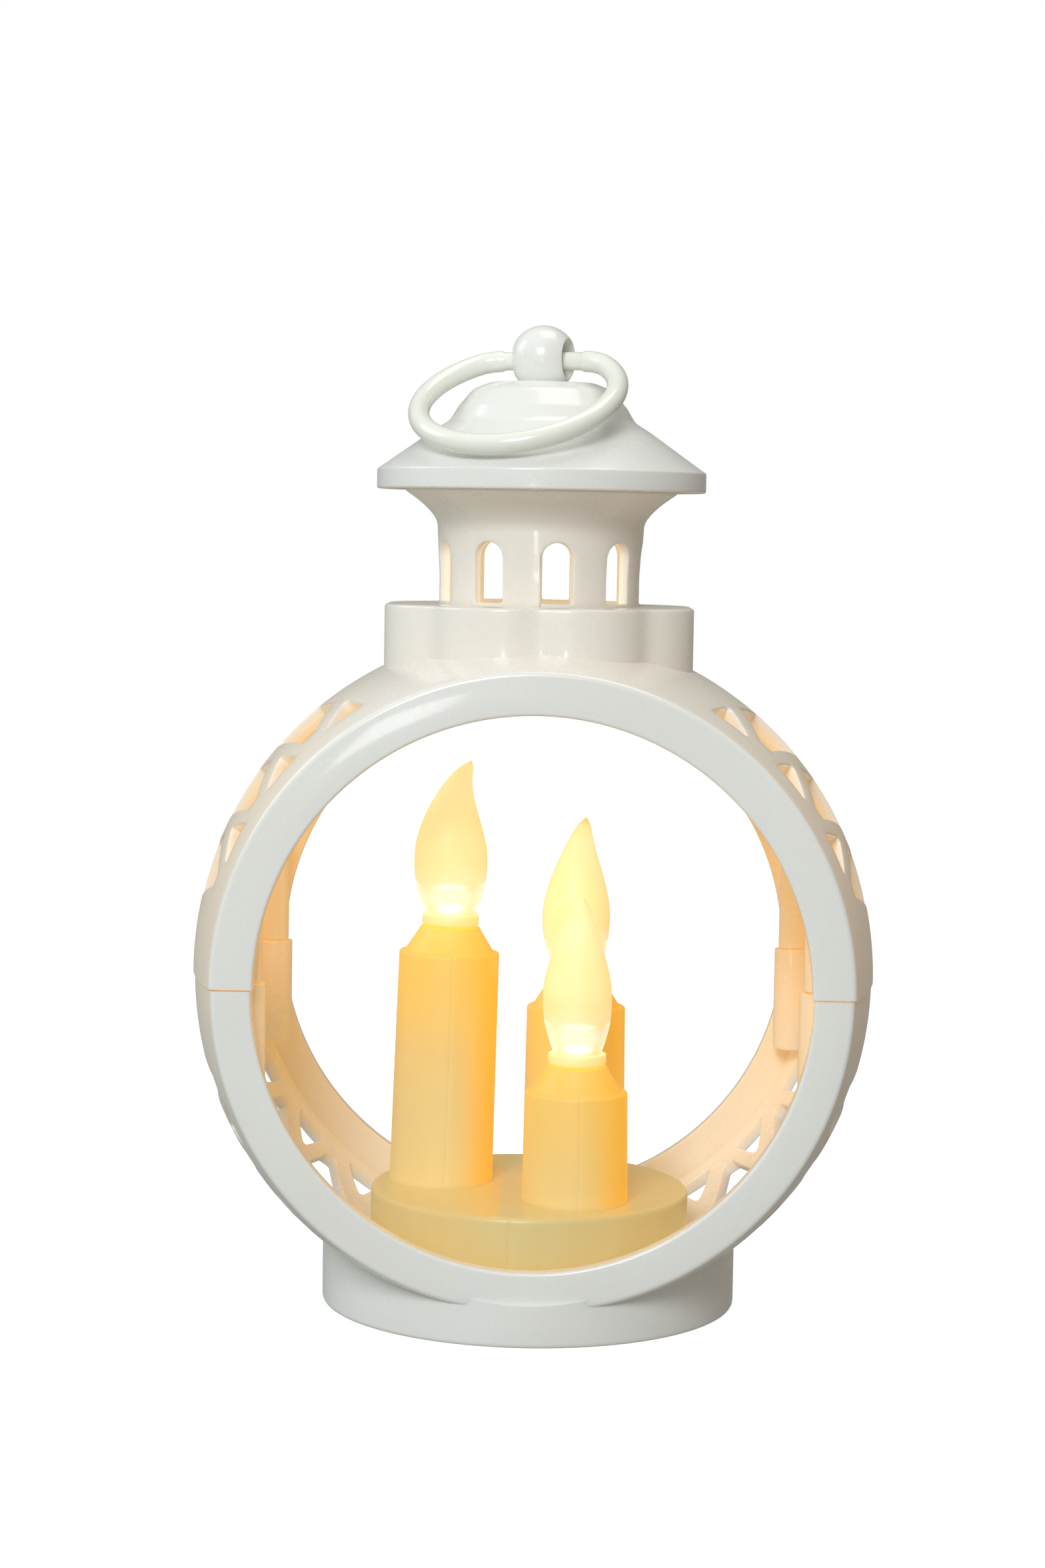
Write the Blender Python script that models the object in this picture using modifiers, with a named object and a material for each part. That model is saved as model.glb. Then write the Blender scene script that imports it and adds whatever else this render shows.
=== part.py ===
"""A small round candle lantern: a white two-part body with three flickering electric candles.

The origin is on the floor under the middle of the base. -Y is the front and +Z is up.
The body is a short drum that lies on its side, so it is turned about the Y axis; the base,
the chimney, the roof and the candles are turned about upright axes.
"""

import math

import bmesh
import bpy
from mathutils import Matrix, Vector

# Body, in metres
CENTRE_Z = 0.0600
BODY_RADIUS = 0.0600
EDGE_RADIUS = 0.0541
HALF_DEPTH = 0.0356
WALL = 0.0022
FACE_BORE = 0.0474
FACE_THICK = 0.0030
EDGE_ROUND = 0.0009
SEAM_GAP = 0.0003
SEAM_STEP = 0.0003
BODY_STEPS = 76
CROWN_POINTS = 9

# Lattice: places are (distance from the mid plane, degrees round from the top)
UNITS = 3
UNIT_PITCH = 14.6
CORNER_ROUND = 0.0007
RAIL_TRIANGLE = [(0.0288, 31.3), (0.0196, 34.2), (0.0288, 39.4)]
MID_WINDOW = [(0.0136, 36.3), (0.0257, 41.9), (0.0250, 44.0), (0.0016, 50.2), (0.0016, 40.0)]

# Posts and sockets that join the two halves
POST_X = 0.0486
POST_Y = 0.0283
POST_RADIUS = 0.0025
PIN_RADIUS = 0.0018
PIN_LENGTH = 0.0080
SOCKET_RADIUS = 0.0032
SOCKET_TOP = CENTRE_Z + 0.0004
POST_HEIGHT = 0.0190
POST_WEB = 0.0014

# Base
BASE_RADIUS = 0.0370
BASE_WALL = 0.0020
BASE_TOP = 0.0135
BASE_ROUND = 0.0008
TRIM_RADIUS = 0.0527
TRAY_HOLE = 0.0289

# Collar and chimney
COLLAR_TOP = 0.1248
COLLAR_FOOT = 0.1110
LOBES = 8
LOBE_CENTRE = 0.0144
LOBE_RADIUS = 0.0139
COLLAR_BORE = 0.0215
COLLAR_PLATE = 0.0020
SPIGOT_HOLE = 0.0155
SEAT_RADIUS = 0.0182
SEAT_DEPTH = 0.0008
CHIMNEY_RADIUS = 0.0178
CHIMNEY_WALL = 0.0018
WINDOWS = 9
WINDOW_WIDTH = 0.0056
WINDOW_FOOT = 0.1250
WINDOW_HEAD = 0.1359
WINDOW_TURN = 9.7
FLARE_FOOT = 0.1388
FLARE_HEAD = 0.1446
FLARE_RADIUS = 0.0240

# Roof and its ball
BRIM_RADIUS = 0.0291
BRIM_FOOT = 0.1449
BRIM_HEAD = 0.1484
ROOF_WALL = 0.0018
DOME_TOP = 0.1639
BALL_RADIUS = 0.00585
BALL_Z = 0.1682
HOLE_Z = 0.1680
THROAT_RADIUS = 0.0022
MOUTH_RADIUS = 0.0040
HINGE_TURN = 20.0

# Hanging ring, lying forward on the roof
HINGE_Z = 0.16775
RING_RADIUS = 0.0174
RING_OFFSET = 0.0145
RING_TUBE = 0.00185
RING_NECK = 0.00160
RING_DROOP = 29.0
RING_POINTS = 56

# Candles
TRAY_RADIUS = 0.0285
TRAY_TOP = 0.0205
TRAY_FOOT = 0.0046
TRAY_PLATE = 0.0015
TRAY_WALL = 0.0012
CANDLE_FOOT_RADIUS = 0.0094
CANDLE_TOP_RADIUS = 0.0090
CANDLE_BORE = 0.0074
SHOULDER_RADIUS = 0.0079
NOZZLE_RADIUS = 0.00525
NOZZLE_HEIGHT = 0.0046
NOZZLE_BORE = 0.0041
# name: (foot x, foot y, ledge height, lean in degrees to the right, way the flame tip bends)
CANDLES = {
    "tall": (-0.0161, 0.0037, 0.0621, 1.3, 0.0),
    "short": (0.0080, -0.0127, 0.0399, 0.0, -80.0),
    "middle": (0.0080, 0.0130, 0.0511, 0.0, 60.0),
}

# Flames, measured up from the ledge of their candle
FLAME_RIM_FOOT = 0.0049
FLAME_RIM_HEAD = 0.0068
FLAME_RIM_RADIUS = 0.0051
FLAME_TIP = 0.0346
FLAME_STEM = 0.0037
FLAME_CAVITY = 0.0029
FLAME_CAVITY_TOP = 0.0150
FLAME_BEND = 0.0040
FLAME_FLAT = 0.92

# Lamps and wires
LED_RADIUS = 0.0025
LED_FOOT = 0.0030
LED_HEAD = 0.0116
WIRE_RADIUS = 0.0005
WIRE_SPREAD = 0.00127

# Inside the base
PLATE_RADIUS = 0.03465
PLATE_FOOT = 0.0006
PLATE_TOP = 0.0022
BOX_LENGTH = 0.0500
BOX_WIDTH = 0.0238
BOX_FOOT = 0.0025
BOX_TOP = 0.0146
BOX_WALL = 0.0009
BOX_ROUND = 0.0269
CELL_RADIUS = 0.00525
CELL_LENGTH = 0.0445
CELL_Y = 0.0055
CELL_Z = 0.0081
BOARD_RADIUS = 0.0195
BOARD_FOOT = 0.0150
BOARD_TOP = 0.0160
BOARD_SCREW_X = 0.0140
DOOR_LENGTH = 0.0510
DOOR_WIDTH = 0.0250
DOOR_CLEARANCE = 0.0003
SWITCH_Y = 0.0200
TRAY_SCREWS = [(-0.0087, 0.0215), (-0.0123, -0.0197), (0.0190, -0.0161)]
HOUSING_SCREW_X = 0.0316

# Finishes: base colour, roughness, metallic
WHITE = ("white_plastic", (0.86, 0.87, 0.84), 0.38, 0.0)
IVORY = ("ivory_plastic", (0.86, 0.87, 0.80), 0.34, 0.0)
AMBER = ("amber_plastic", (0.85, 0.62, 0.27), 0.40, 0.0)
FLAME = ("flame_plastic", (1.00, 0.86, 0.45), 0.35, 0.0)
LENS = ("led_lens", (1.00, 0.93, 0.62), 0.12, 0.0)
COPPER_RED = ("red_wire", (0.60, 0.05, 0.04), 0.45, 0.0)
COPPER_BLACK = ("black_wire", (0.03, 0.03, 0.03), 0.45, 0.0)
BOARD = ("circuit_board", (0.04, 0.22, 0.08), 0.45, 0.0)
EPOXY = ("black_epoxy", (0.02, 0.02, 0.02), 0.30, 0.0)
RESISTOR = ("resistor_paint", (0.62, 0.47, 0.28), 0.45, 0.0)
BLACK = ("black_plastic", (0.03, 0.03, 0.03), 0.45, 0.0)
STEEL = ("plated_steel", (0.66, 0.66, 0.65), 0.28, 1.0)
CELL = ("battery_sleeve", (0.10, 0.16, 0.28), 0.35, 0.3)


def clear_scene():
    """Remove what the startup file holds."""
    for thing in list(bpy.data.objects):
        bpy.data.objects.remove(thing)


def finish_of(finish):
    """The material of this finish, made the first time that it is asked for."""
    name, colour, roughness, metallic = finish
    found = bpy.data.materials.get(name)
    if found:
        return found
    made = bpy.data.materials.new(name)
    made.use_nodes = True
    shader = made.node_tree.nodes["Principled BSDF"]
    shader.inputs["Base Color"].default_value = (*colour, 1.0)
    shader.inputs["Roughness"].default_value = roughness
    shader.inputs["Metallic"].default_value = metallic
    return made


def tidy(mesh):
    """Join points that coincide, and turn every face outwards."""
    edit = bmesh.new()
    edit.from_mesh(mesh)
    bmesh.ops.remove_doubles(edit, verts=edit.verts, dist=1e-6)
    bmesh.ops.recalc_face_normals(edit, faces=edit.faces)
    edit.to_mesh(mesh)
    edit.free()


def put(name, data, place=None):
    """A new object in the scene, at this matrix."""
    made = bpy.data.objects.new(name, data)
    made.matrix_world = place or Matrix()
    bpy.context.scene.collection.objects.link(made)
    return made


def settle(thing):
    """Turn a curve or an object with modifiers into a plain closed mesh in world space."""
    bpy.context.view_layer.update()
    graph = bpy.context.evaluated_depsgraph_get()
    mesh = bpy.data.meshes.new_from_object(thing.evaluated_get(graph))
    mesh.transform(thing.matrix_world)
    name = thing.name
    bpy.data.objects.remove(thing)
    tidy(mesh)
    mesh.name = name
    return put(name, mesh)


def combine(body, other, operation):
    """Apply one exact Boolean to the body, and remove the other mesh."""
    change = body.modifiers.new(operation.lower(), "BOOLEAN")
    change.operation = operation
    change.solver = "EXACT"
    change.object = other
    result = settle(body)
    bpy.data.objects.remove(other)
    return result


def cut(body, *others):
    """Take each of the others away from the body."""
    for other in others:
        body = combine(body, other, "DIFFERENCE")
    return body


def join(body, *others):
    """Add each of the others to the body."""
    for other in others:
        body = combine(body, other, "UNION")
    return body


def turned(name, outline, steps, place=None, closed=False):
    """A solid turned about local Z from an outline of (radius, height) points."""
    mesh = bpy.data.meshes.new(name)
    edit = bmesh.new()
    points = [edit.verts.new((radius, 0.0, height)) for radius, height in outline]
    pairs = list(zip(points, points[1:]))
    if closed:
        pairs.append((points[-1], points[0]))
    for pair in pairs:
        edit.edges.new(pair)
    edit.to_mesh(mesh)
    edit.free()
    made = put(name, mesh, place)
    screw = made.modifiers.new("turn", "SCREW")
    screw.steps = steps
    screw.render_steps = steps
    screw.use_merge_vertices = True
    screw.merge_threshold = 0.00001
    return settle(made)


def cylinder(name, radius, foot, head, x=0.0, y=0.0, steps=24):
    """An upright cylinder between two heights."""
    bpy.ops.mesh.primitive_cylinder_add(
        vertices=steps, radius=radius, depth=head - foot, location=(x, y, (foot + head) / 2)
    )
    made = bpy.context.object
    made.name = name
    return settle(made)


def block(name, low, high):
    """A box between two corners."""
    size = [b - a for a, b in zip(low, high)]
    middle = [(a + b) / 2 for a, b in zip(low, high)]
    bpy.ops.mesh.primitive_cube_add(size=1.0, location=middle)
    made = bpy.context.object
    made.name = name
    made.scale = size
    return settle(made)


def prism(name, outlines, thickness, place=None):
    """Flat outlines given a thickness along local Z, half of it to each side."""
    curve = bpy.data.curves.new(name, "CURVE")
    curve.dimensions = "2D"
    curve.fill_mode = "BOTH"
    curve.extrude = thickness / 2
    for outline in outlines:
        spline = curve.splines.new("POLY")
        spline.points.add(len(outline) - 1)
        for point, (x, y) in zip(spline.points, outline):
            point.co = (x, y, 0.0, 1.0)
        spline.use_cyclic_u = True
    return settle(put(name, curve, place))


def tube(name, points, radius, sides=2, radii=None, cyclic=False):
    """A round bar along these points."""
    curve = bpy.data.curves.new(name, "CURVE")
    curve.dimensions = "3D"
    curve.bevel_depth = radius
    curve.bevel_resolution = sides
    curve.use_fill_caps = not cyclic
    spline = curve.splines.new("POLY")
    spline.points.add(len(points) - 1)
    for index, point in enumerate(points):
        spline.points[index].co = (*point, 1.0)
        spline.points[index].radius = radii[index] if radii else 1.0
    spline.use_cyclic_u = cyclic
    return settle(put(name, curve))


def rounded(outline, radius, steps=2):
    """The same outline with each corner cut back to a short curve."""
    result = []
    count = len(outline)
    for index, corner in enumerate(outline):
        here = Vector(corner)
        before = (Vector(outline[index - 1]) - here).normalized()
        after = (Vector(outline[(index + 1) % count]) - here).normalized()
        half = before.angle(after) / 2
        back = radius / math.tan(half)
        start, end = here + before * back, here + after * back
        for step in range(steps + 1):
            t = step / steps
            point = start * (1 - t) ** 2 + here * 2 * t * (1 - t) + end * t**2
            result.append((point.x, point.y))
    return result


def dress(thing, name, finish, origin=None):
    """Name the finished piece, give it its material and set its origin."""
    thing.name = name
    thing.data.name = name
    thing.data.materials.clear()
    thing.data.materials.append(finish_of(finish))
    if origin is not None:
        thing.data.transform(Matrix.Translation(-Vector(origin)))
        thing.location = origin
    return thing


def crown(y):
    """Outer radius of the body at this distance behind its mid plane."""
    return BODY_RADIUS - (BODY_RADIUS - EDGE_RADIUS) * (y / HALF_DEPTH) ** 2


def spread(low, high, count):
    """Evenly spaced values, both ends included."""
    return [low + (high - low) * step / (count - 1) for step in range(count)]


# Local Z becomes world Y, and local X stays world X.
LYING = Matrix.Translation((0.0, 0.0, CENTRE_Z)) @ Matrix.Rotation(math.radians(-90), 4, "X")


def band(name, proud):
    """The whole round band with its two faces, the wall thicker by proud on each side."""
    outer_end = HALF_DEPTH - EDGE_ROUND
    inner_end = HALF_DEPTH - FACE_THICK
    bore = FACE_BORE - proud
    outline = [(crown(y) + proud, y) for y in spread(-outer_end, outer_end, CROWN_POINTS)]
    outline += [(EDGE_RADIUS + proud - EDGE_ROUND, HALF_DEPTH), (bore + EDGE_ROUND / 2, HALF_DEPTH)]
    outline += [(bore, HALF_DEPTH - EDGE_ROUND / 2), (bore, inner_end)]
    inner = spread(inner_end, -inner_end, CROWN_POINTS - 2)
    outline += [(crown(y) - WALL - proud, y) for y in inner]
    outline += [(bore, -inner_end), (bore, EDGE_ROUND / 2 - HALF_DEPTH)]
    outline += [(bore + EDGE_ROUND / 2, -HALF_DEPTH), (EDGE_RADIUS + proud - EDGE_ROUND, -HALF_DEPTH)]
    return turned(name, outline, BODY_STEPS, LYING, closed=True)


def hollow_of_body(name):
    """The space inside the body, up to the middle of its wall, and in front of and behind it."""
    end = HALF_DEPTH - 0.0002
    reach = HALF_DEPTH + 0.0100
    outline = [(0.0, -reach), (TRIM_RADIUS, -reach), (TRIM_RADIUS, -end)]
    outline += [(crown(y) - WALL / 2, y) for y in spread(-end, end, CROWN_POINTS)]
    outline += [(TRIM_RADIUS, end), (TRIM_RADIUS, reach), (0.0, reach)]
    return turned(name, outline, BODY_STEPS, LYING)


def lattice_cutters(upper):
    """One cutter for each unit of the lattice, on the left and on the right."""
    cutters = []
    depth = 0.0160
    seat = BODY_RADIUS - 0.0030
    for side in (-1, 1):
        for unit in range(UNITS):
            middle = 40.8 + UNIT_PITCH * unit
            outlines = []
            for shape in (RAIL_TRIANGLE, MID_WINDOW):
                for end in (-1, 1):
                    places = [
                        (end * y, math.radians(angle + UNIT_PITCH * unit - middle) * seat)
                        for y, angle in shape
                    ]
                    outlines.append(rounded(places, CORNER_ROUND))
            round_from_top = math.radians(middle if upper else 180 - middle)
            out = Vector((side * math.sin(round_from_top), 0.0, math.cos(round_from_top)))
            along = Vector((0.0, 1.0, 0.0))
            down = Vector((side * math.cos(round_from_top), 0.0, -math.sin(round_from_top)))
            if not upper:
                down = -down
            place = Matrix((along, down, out)).transposed().to_4x4()
            place.translation = Vector((0.0, 0.0, CENTRE_Z)) + out * seat
            cutters.append(prism("lattice_cutter", outlines, depth, place))
    return cutters


def half_space(name, upper):
    """A box over everything above, or below, the seam between the halves."""
    reach = 0.1500
    edge = SEAM_GAP / 2
    if upper:
        return block(name, (-reach, -reach, CENTRE_Z + edge), (reach, reach, CENTRE_Z + reach))
    return block(name, (-reach, -reach, CENTRE_Z - reach), (reach, reach, CENTRE_Z - edge))


def post_places():
    """The four (x, y) places of the posts, with the side that each is on."""
    return [(side * POST_X, end * POST_Y, side) for side in (-1, 1) for end in (-1, 1)]


def lobed_outline(shrink=0.0):
    """The collar's outline of eight shallow lobes, with a groove at the front."""
    outline = []
    steps = 5
    centre, radius = LOBE_CENTRE, LOBE_RADIUS - shrink
    for index in range(LOBES * steps):
        turn = 2 * math.pi * index / (LOBES * steps)
        off = (turn % (2 * math.pi / LOBES)) - math.pi / LOBES
        reach = centre * math.cos(off) + math.sqrt(radius**2 - (centre * math.sin(off)) ** 2)
        outline.append((reach * math.cos(turn), reach * math.sin(turn)))
    return outline


def upper_housing():
    """Upper half of the body, with its lattice, its four posts and the lobed collar."""
    body = combine(band("upper_housing", SEAM_STEP), half_space("above", True), "INTERSECT")
    height = COLLAR_TOP - COLLAR_FOOT
    place = Matrix.Translation((0.0, 0.0, COLLAR_FOOT + height / 2))
    collar = prism("collar", [lobed_outline()], height, place)
    collar = cut(collar, hollow_of_body("hollow"))
    body = join(body, collar)
    body = cut(
        body,
        cylinder("collar_bore", COLLAR_BORE, CENTRE_Z + 0.0400, COLLAR_TOP - COLLAR_PLATE, steps=48),
        cylinder("spigot_hole", SPIGOT_HOLE, CENTRE_Z + 0.0400, COLLAR_TOP + 0.0050, steps=48),
        cylinder("seat", SEAT_RADIUS, COLLAR_TOP - SEAT_DEPTH, COLLAR_TOP + 0.0050, steps=48),
    )
    body = cut(body, *lattice_cutters(True))
    foot = SOCKET_TOP + SEAM_GAP
    for x, y, side in post_places():
        outer = side * (BODY_RADIUS - WALL - 0.0028)
        web = block(
            "web",
            (min(x, outer), y - POST_WEB / 2, foot + 0.0030),
            (max(x, outer), y + POST_WEB / 2, foot + POST_HEIGHT - 0.0020),
        )
        post = cylinder("post", POST_RADIUS, foot, foot + POST_HEIGHT, x, y, 16)
        post = combine(join(post, web), hollow_of_body("hollow"), "INTERSECT")
        pin = cylinder("pin", PIN_RADIUS, foot - PIN_LENGTH, foot + 0.0010, x, y, 12)
        body = join(body, join(post, pin))
    return dress(body, "upper_housing", WHITE)


def lower_housing():
    """Lower half of the body, with its lattice, its four sockets and the round base."""
    body = combine(band("lower_housing", 0.0), half_space("below", False), "INTERSECT")
    outline = [
        (BASE_RADIUS - BASE_WALL, 0.0),
        (BASE_RADIUS - BASE_ROUND, 0.0),
        (BASE_RADIUS, BASE_ROUND),
        (BASE_RADIUS, BASE_TOP),
        (BASE_RADIUS - BASE_WALL, BASE_TOP),
    ]
    skirt = turned("skirt", outline, 64, closed=True)
    skirt = cut(skirt, hollow_of_body("hollow"))
    boss_radius = 0.0022
    for side in (-1, 1):
        x = side * HOUSING_SCREW_X
        skirt_boss = cylinder("boss", boss_radius, PLATE_TOP + 0.0003, 0.0110, x, 0.0, 16)
        skirt = join(skirt, cut(skirt_boss, hollow_of_body("hollow")))
    # The band comes down to the floor inside the base, so what is below the plate goes.
    body = cut(
        body,
        cylinder("tray_hole", TRAY_HOLE, -0.0100, CENTRE_Z - 0.0200, steps=64),
        cylinder("plate_room", BASE_RADIUS - BASE_WALL, -0.0100, PLATE_TOP + 0.0003, steps=64),
    )
    body = join(body, skirt)
    for side in (-1, 1):
        hole = cylinder("screw_hole", 0.0012, -0.0010, 0.0085, side * HOUSING_SCREW_X, 0.0, 12)
        body = cut(body, hole)
    body = cut(body, *lattice_cutters(False))
    for x, y, side in post_places():
        outer = side * (BODY_RADIUS - WALL - 0.0028)
        web = block(
            "web",
            (min(x, outer), y - POST_WEB / 2, SOCKET_TOP - POST_HEIGHT + 0.0020),
            (max(x, outer), y + POST_WEB / 2, SOCKET_TOP - 0.0030),
        )
        socket = cylinder("socket", SOCKET_RADIUS, SOCKET_TOP - POST_HEIGHT, SOCKET_TOP, x, y, 16)
        well = cylinder(
            "well", PIN_RADIUS + 0.0003, SOCKET_TOP - PIN_LENGTH - 0.0004, SOCKET_TOP + 0.001, x, y, 12
        )
        socket = combine(join(socket, web), hollow_of_body("hollow"), "INTERSECT")
        body = join(body, cut(socket, well))
    return dress(body, "lower_housing", WHITE)


def chimney_vent():
    """The pierced chimney, its flare and the spigot that plugs into the collar."""
    foot = COLLAR_TOP - SEAT_DEPTH + 0.0003
    spigot = SPIGOT_HOLE - 0.0003
    inside = CHIMNEY_RADIUS - CHIMNEY_WALL
    rim = BRIM_FOOT + 0.0014
    outline = [
        (spigot - 0.0014, foot - 0.0026),
        (spigot, foot - 0.0026),
        (spigot, foot),
        (CHIMNEY_RADIUS, foot),
        (CHIMNEY_RADIUS, 0.1300),
        (CHIMNEY_RADIUS + 0.0003, 0.1352),
        (CHIMNEY_RADIUS + 0.0005, FLARE_FOOT),
    ]
    turn = FLARE_HEAD - FLARE_FOOT
    for step in (0.35, 0.6, 0.8):
        outline.append((CHIMNEY_RADIUS + 0.0005 + 0.0057 * step**1.6, FLARE_FOOT + turn * step))
    outline += [
        (FLARE_RADIUS, FLARE_HEAD),
        (FLARE_RADIUS, rim),
        (FLARE_RADIUS - 0.0012, rim),
        (FLARE_RADIUS - 0.0014, FLARE_HEAD + 0.0004),
        (inside + 0.0008, FLARE_FOOT + 0.0012),
        (inside, 0.1352),
        (inside, foot + 0.0010),
        (spigot - 0.0014, foot + 0.0010),
    ]
    body = turned("chimney_vent", outline, 54, closed=True)
    half = WINDOW_WIDTH / 2
    spring = WINDOW_HEAD - half
    arch = [(half, WINDOW_FOOT), (half, spring)]
    arch += [(half * math.cos(a), spring + half * math.sin(a)) for a in spread(0.5, math.pi - 0.5, 5)]
    arch += [(-half, spring), (-half, WINDOW_FOOT)]
    reach = 0.0140
    for index in range(WINDOWS):
        turn = math.radians(WINDOW_TURN + 360 / WINDOWS * index)
        place = Matrix.Rotation(turn, 4, "Z") @ Matrix.Translation((0.0, -0.0175, 0.0))
        place = place @ Matrix.Rotation(math.radians(90), 4, "X")
        body = cut(body, prism("window", [arch], reach, place))
    return dress(body, "chimney_vent", WHITE)


def roof_cap():
    """The hollow roof with its brim, its dome and the pierced ball on top."""
    outside = [
        (BRIM_RADIUS, BRIM_FOOT),
        (BRIM_RADIUS, BRIM_HEAD),
        (BRIM_RADIUS - 0.0012, BRIM_HEAD + 0.0008),
        (0.0196, 0.1551),
        (0.0176, 0.1562),
        (0.0162, 0.1574),
        (0.0154, 0.1588),
        (0.0144, 0.1603),
        (0.0134, 0.1614),
        (0.0121, 0.1627),
        (0.0108, 0.1635),
        (0.0092, DOME_TOP),
    ]
    underside = [
        (0.0, DOME_TOP - ROOF_WALL),
        (0.0088, DOME_TOP - ROOF_WALL),
        (0.0120, 0.1604),
        (0.0146, 0.1566),
        (0.0180, 0.1541),
        (BRIM_RADIUS - ROOF_WALL - 0.0002, BRIM_HEAD - 0.0004),
        (BRIM_RADIUS - ROOF_WALL, BRIM_FOOT),
    ]
    body = turned("roof_cap", underside + outside + [(0.0, DOME_TOP)], 48)
    bpy.ops.mesh.primitive_uv_sphere_add(
        segments=24, ring_count=14, radius=BALL_RADIUS, location=(0.0, 0.0, BALL_Z)
    )
    ball = settle(bpy.context.object)
    foot = cylinder("ball_foot", 0.0040, DOME_TOP - 0.0010, BALL_Z - 0.0036, steps=28)
    body = join(body, ball, foot)
    reach = BALL_RADIUS + 0.0012
    hole = [(0.0, -reach)]
    for along in spread(-reach, reach, 9):
        share = abs(along) / BALL_RADIUS
        hole.append((THROAT_RADIUS + (MOUTH_RADIUS - THROAT_RADIUS) * min(share, 1.0) ** 2, along))
    hole.append((0.0, reach))
    place = Matrix.Translation((0.0, 0.0, HOLE_Z)) @ Matrix.Rotation(math.radians(-HINGE_TURN), 4, "Z")
    place = place @ Matrix.Rotation(math.radians(90), 4, "Y")
    body = cut(body, turned("hinge_hole", hole, 20, place))
    return dress(body, "roof_cap", WHITE)


def ring_directions():
    """The hinge line, and the way from it to the middle of the ring."""
    turn, droop = math.radians(HINGE_TURN), math.radians(RING_DROOP)
    hinge = Vector((math.cos(turn), -math.sin(turn), 0.0))
    flat = Vector((-math.sin(turn), -math.cos(turn), 0.0))
    return hinge, flat * math.cos(droop) - Vector((0.0, 0.0, 1.0)) * math.sin(droop)


def hanging_ring():
    """The ring: round, with a thinner straight stretch that goes through the ball."""
    hinge, hang = ring_directions()
    start = Vector((0.0, 0.0, HINGE_Z))
    middle = start + hang * RING_OFFSET
    sharpness = 24
    points, radii = [], []
    for index in range(RING_POINTS):
        turn = 2 * math.pi * index / RING_POINTS
        toward = math.cos(turn)
        reach = RING_RADIUS
        if toward > 0.2:
            chord = RING_OFFSET / toward
            reach = (RING_RADIUS**-sharpness + chord**-sharpness) ** (-1 / sharpness)
        points.append(middle - hang * (reach * toward) + hinge * (reach * math.sin(turn)))
        thin = RING_NECK / RING_TUBE
        radii.append(thin if abs(reach * math.sin(turn)) < 0.0082 and toward > 0 else 1.0)
    body = tube("hanging_ring", points, RING_TUBE, 3, radii, cyclic=True)
    return dress(body, "hanging_ring", IVORY, start)


def candle_place(name):
    """A matrix whose origin is the foot of this candle and whose Z runs up along it."""
    x, y, _, lean, _ = CANDLES[name]
    return Matrix.Translation((x, y, TRAY_TOP)) @ Matrix.Rotation(math.radians(lean), 4, "Y")


def candle_ledge(name):
    """Height of this candle's ledge above the top of the tray."""
    return CANDLES[name][2] - TRAY_TOP


def candle_tray():
    """The amber moulding: a round tray with three hollow candles standing on it."""
    chamfer = 0.0008
    outline = [
        (TRAY_RADIUS - TRAY_WALL, TRAY_FOOT),
        (TRAY_RADIUS, TRAY_FOOT),
        (TRAY_RADIUS, TRAY_TOP - chamfer),
        (TRAY_RADIUS - chamfer, TRAY_TOP),
        (0.0, TRAY_TOP),
    ]
    outline = [(0.0, TRAY_TOP - TRAY_PLATE), (TRAY_RADIUS - TRAY_WALL, TRAY_TOP - TRAY_PLATE)] + outline
    body = turned("candle_tray", outline, 48)
    sink = 0.0008
    for name in CANDLES:
        ledge = candle_ledge(name)
        nozzle = ledge + NOZZLE_HEIGHT
        sleeve = [
            (0.0, -sink),
            (CANDLE_FOOT_RADIUS, -sink),
            (CANDLE_TOP_RADIUS, ledge),
            (SHOULDER_RADIUS, ledge + 0.0003),
            (NOZZLE_RADIUS, nozzle),
            (0.0, nozzle),
        ]
        bore = [
            (0.0, -0.0030),
            (CANDLE_BORE, -0.0030),
            (CANDLE_BORE, ledge - 0.0010),
            (NOZZLE_BORE, nozzle - 0.0014),
            (NOZZLE_BORE, nozzle + 0.0020),
            (0.0, nozzle + 0.0020),
        ]
        place = candle_place(name)
        body = join(body, turned("sleeve", sleeve, 28, place))
        body = cut(body, turned("bore", bore, 20, place))
    for x, y in TRAY_SCREWS:
        boss = cylinder("boss", 0.0030, TRAY_FOOT, TRAY_TOP - TRAY_PLATE / 2, x, y, 16)
        body = join(body, boss)
        body = cut(body, cylinder("screw_hole", 0.0015, -0.0010, 0.0150, x, y, 12))
    return dress(body, "candle_tray", AMBER)


def flame_outline(ledge):
    """Half outline of a flame, its rim, its stem and the cavity for the lamp."""
    foot, rim = ledge + FLAME_RIM_FOOT, ledge + FLAME_RIM_HEAD
    stem_foot = ledge + NOZZLE_HEIGHT - 0.0030
    outline = [
        (0.0, ledge + FLAME_CAVITY_TOP),
        (FLAME_CAVITY * 0.7, ledge + FLAME_CAVITY_TOP - 0.0006),
        (FLAME_CAVITY, ledge + FLAME_CAVITY_TOP - 0.0022),
        (FLAME_CAVITY, stem_foot),
        (FLAME_STEM, stem_foot),
        (FLAME_STEM, foot),
        (FLAME_RIM_RADIUS, foot),
        (FLAME_RIM_RADIUS, rim),
        (0.0046, rim),
    ]
    belly = [(0.0056, 0.0095), (0.0063, 0.0125), (0.0066, 0.0160), (0.0064, 0.0190)]
    belly += [(0.0057, 0.0220), (0.0047, 0.0250), (0.0035, 0.0280), (0.0023, 0.0310), (0.0014, 0.0333)]
    outline += [(radius, ledge + height) for radius, height in belly]
    return outline + [(0.0, ledge + FLAME_TIP)]


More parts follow.
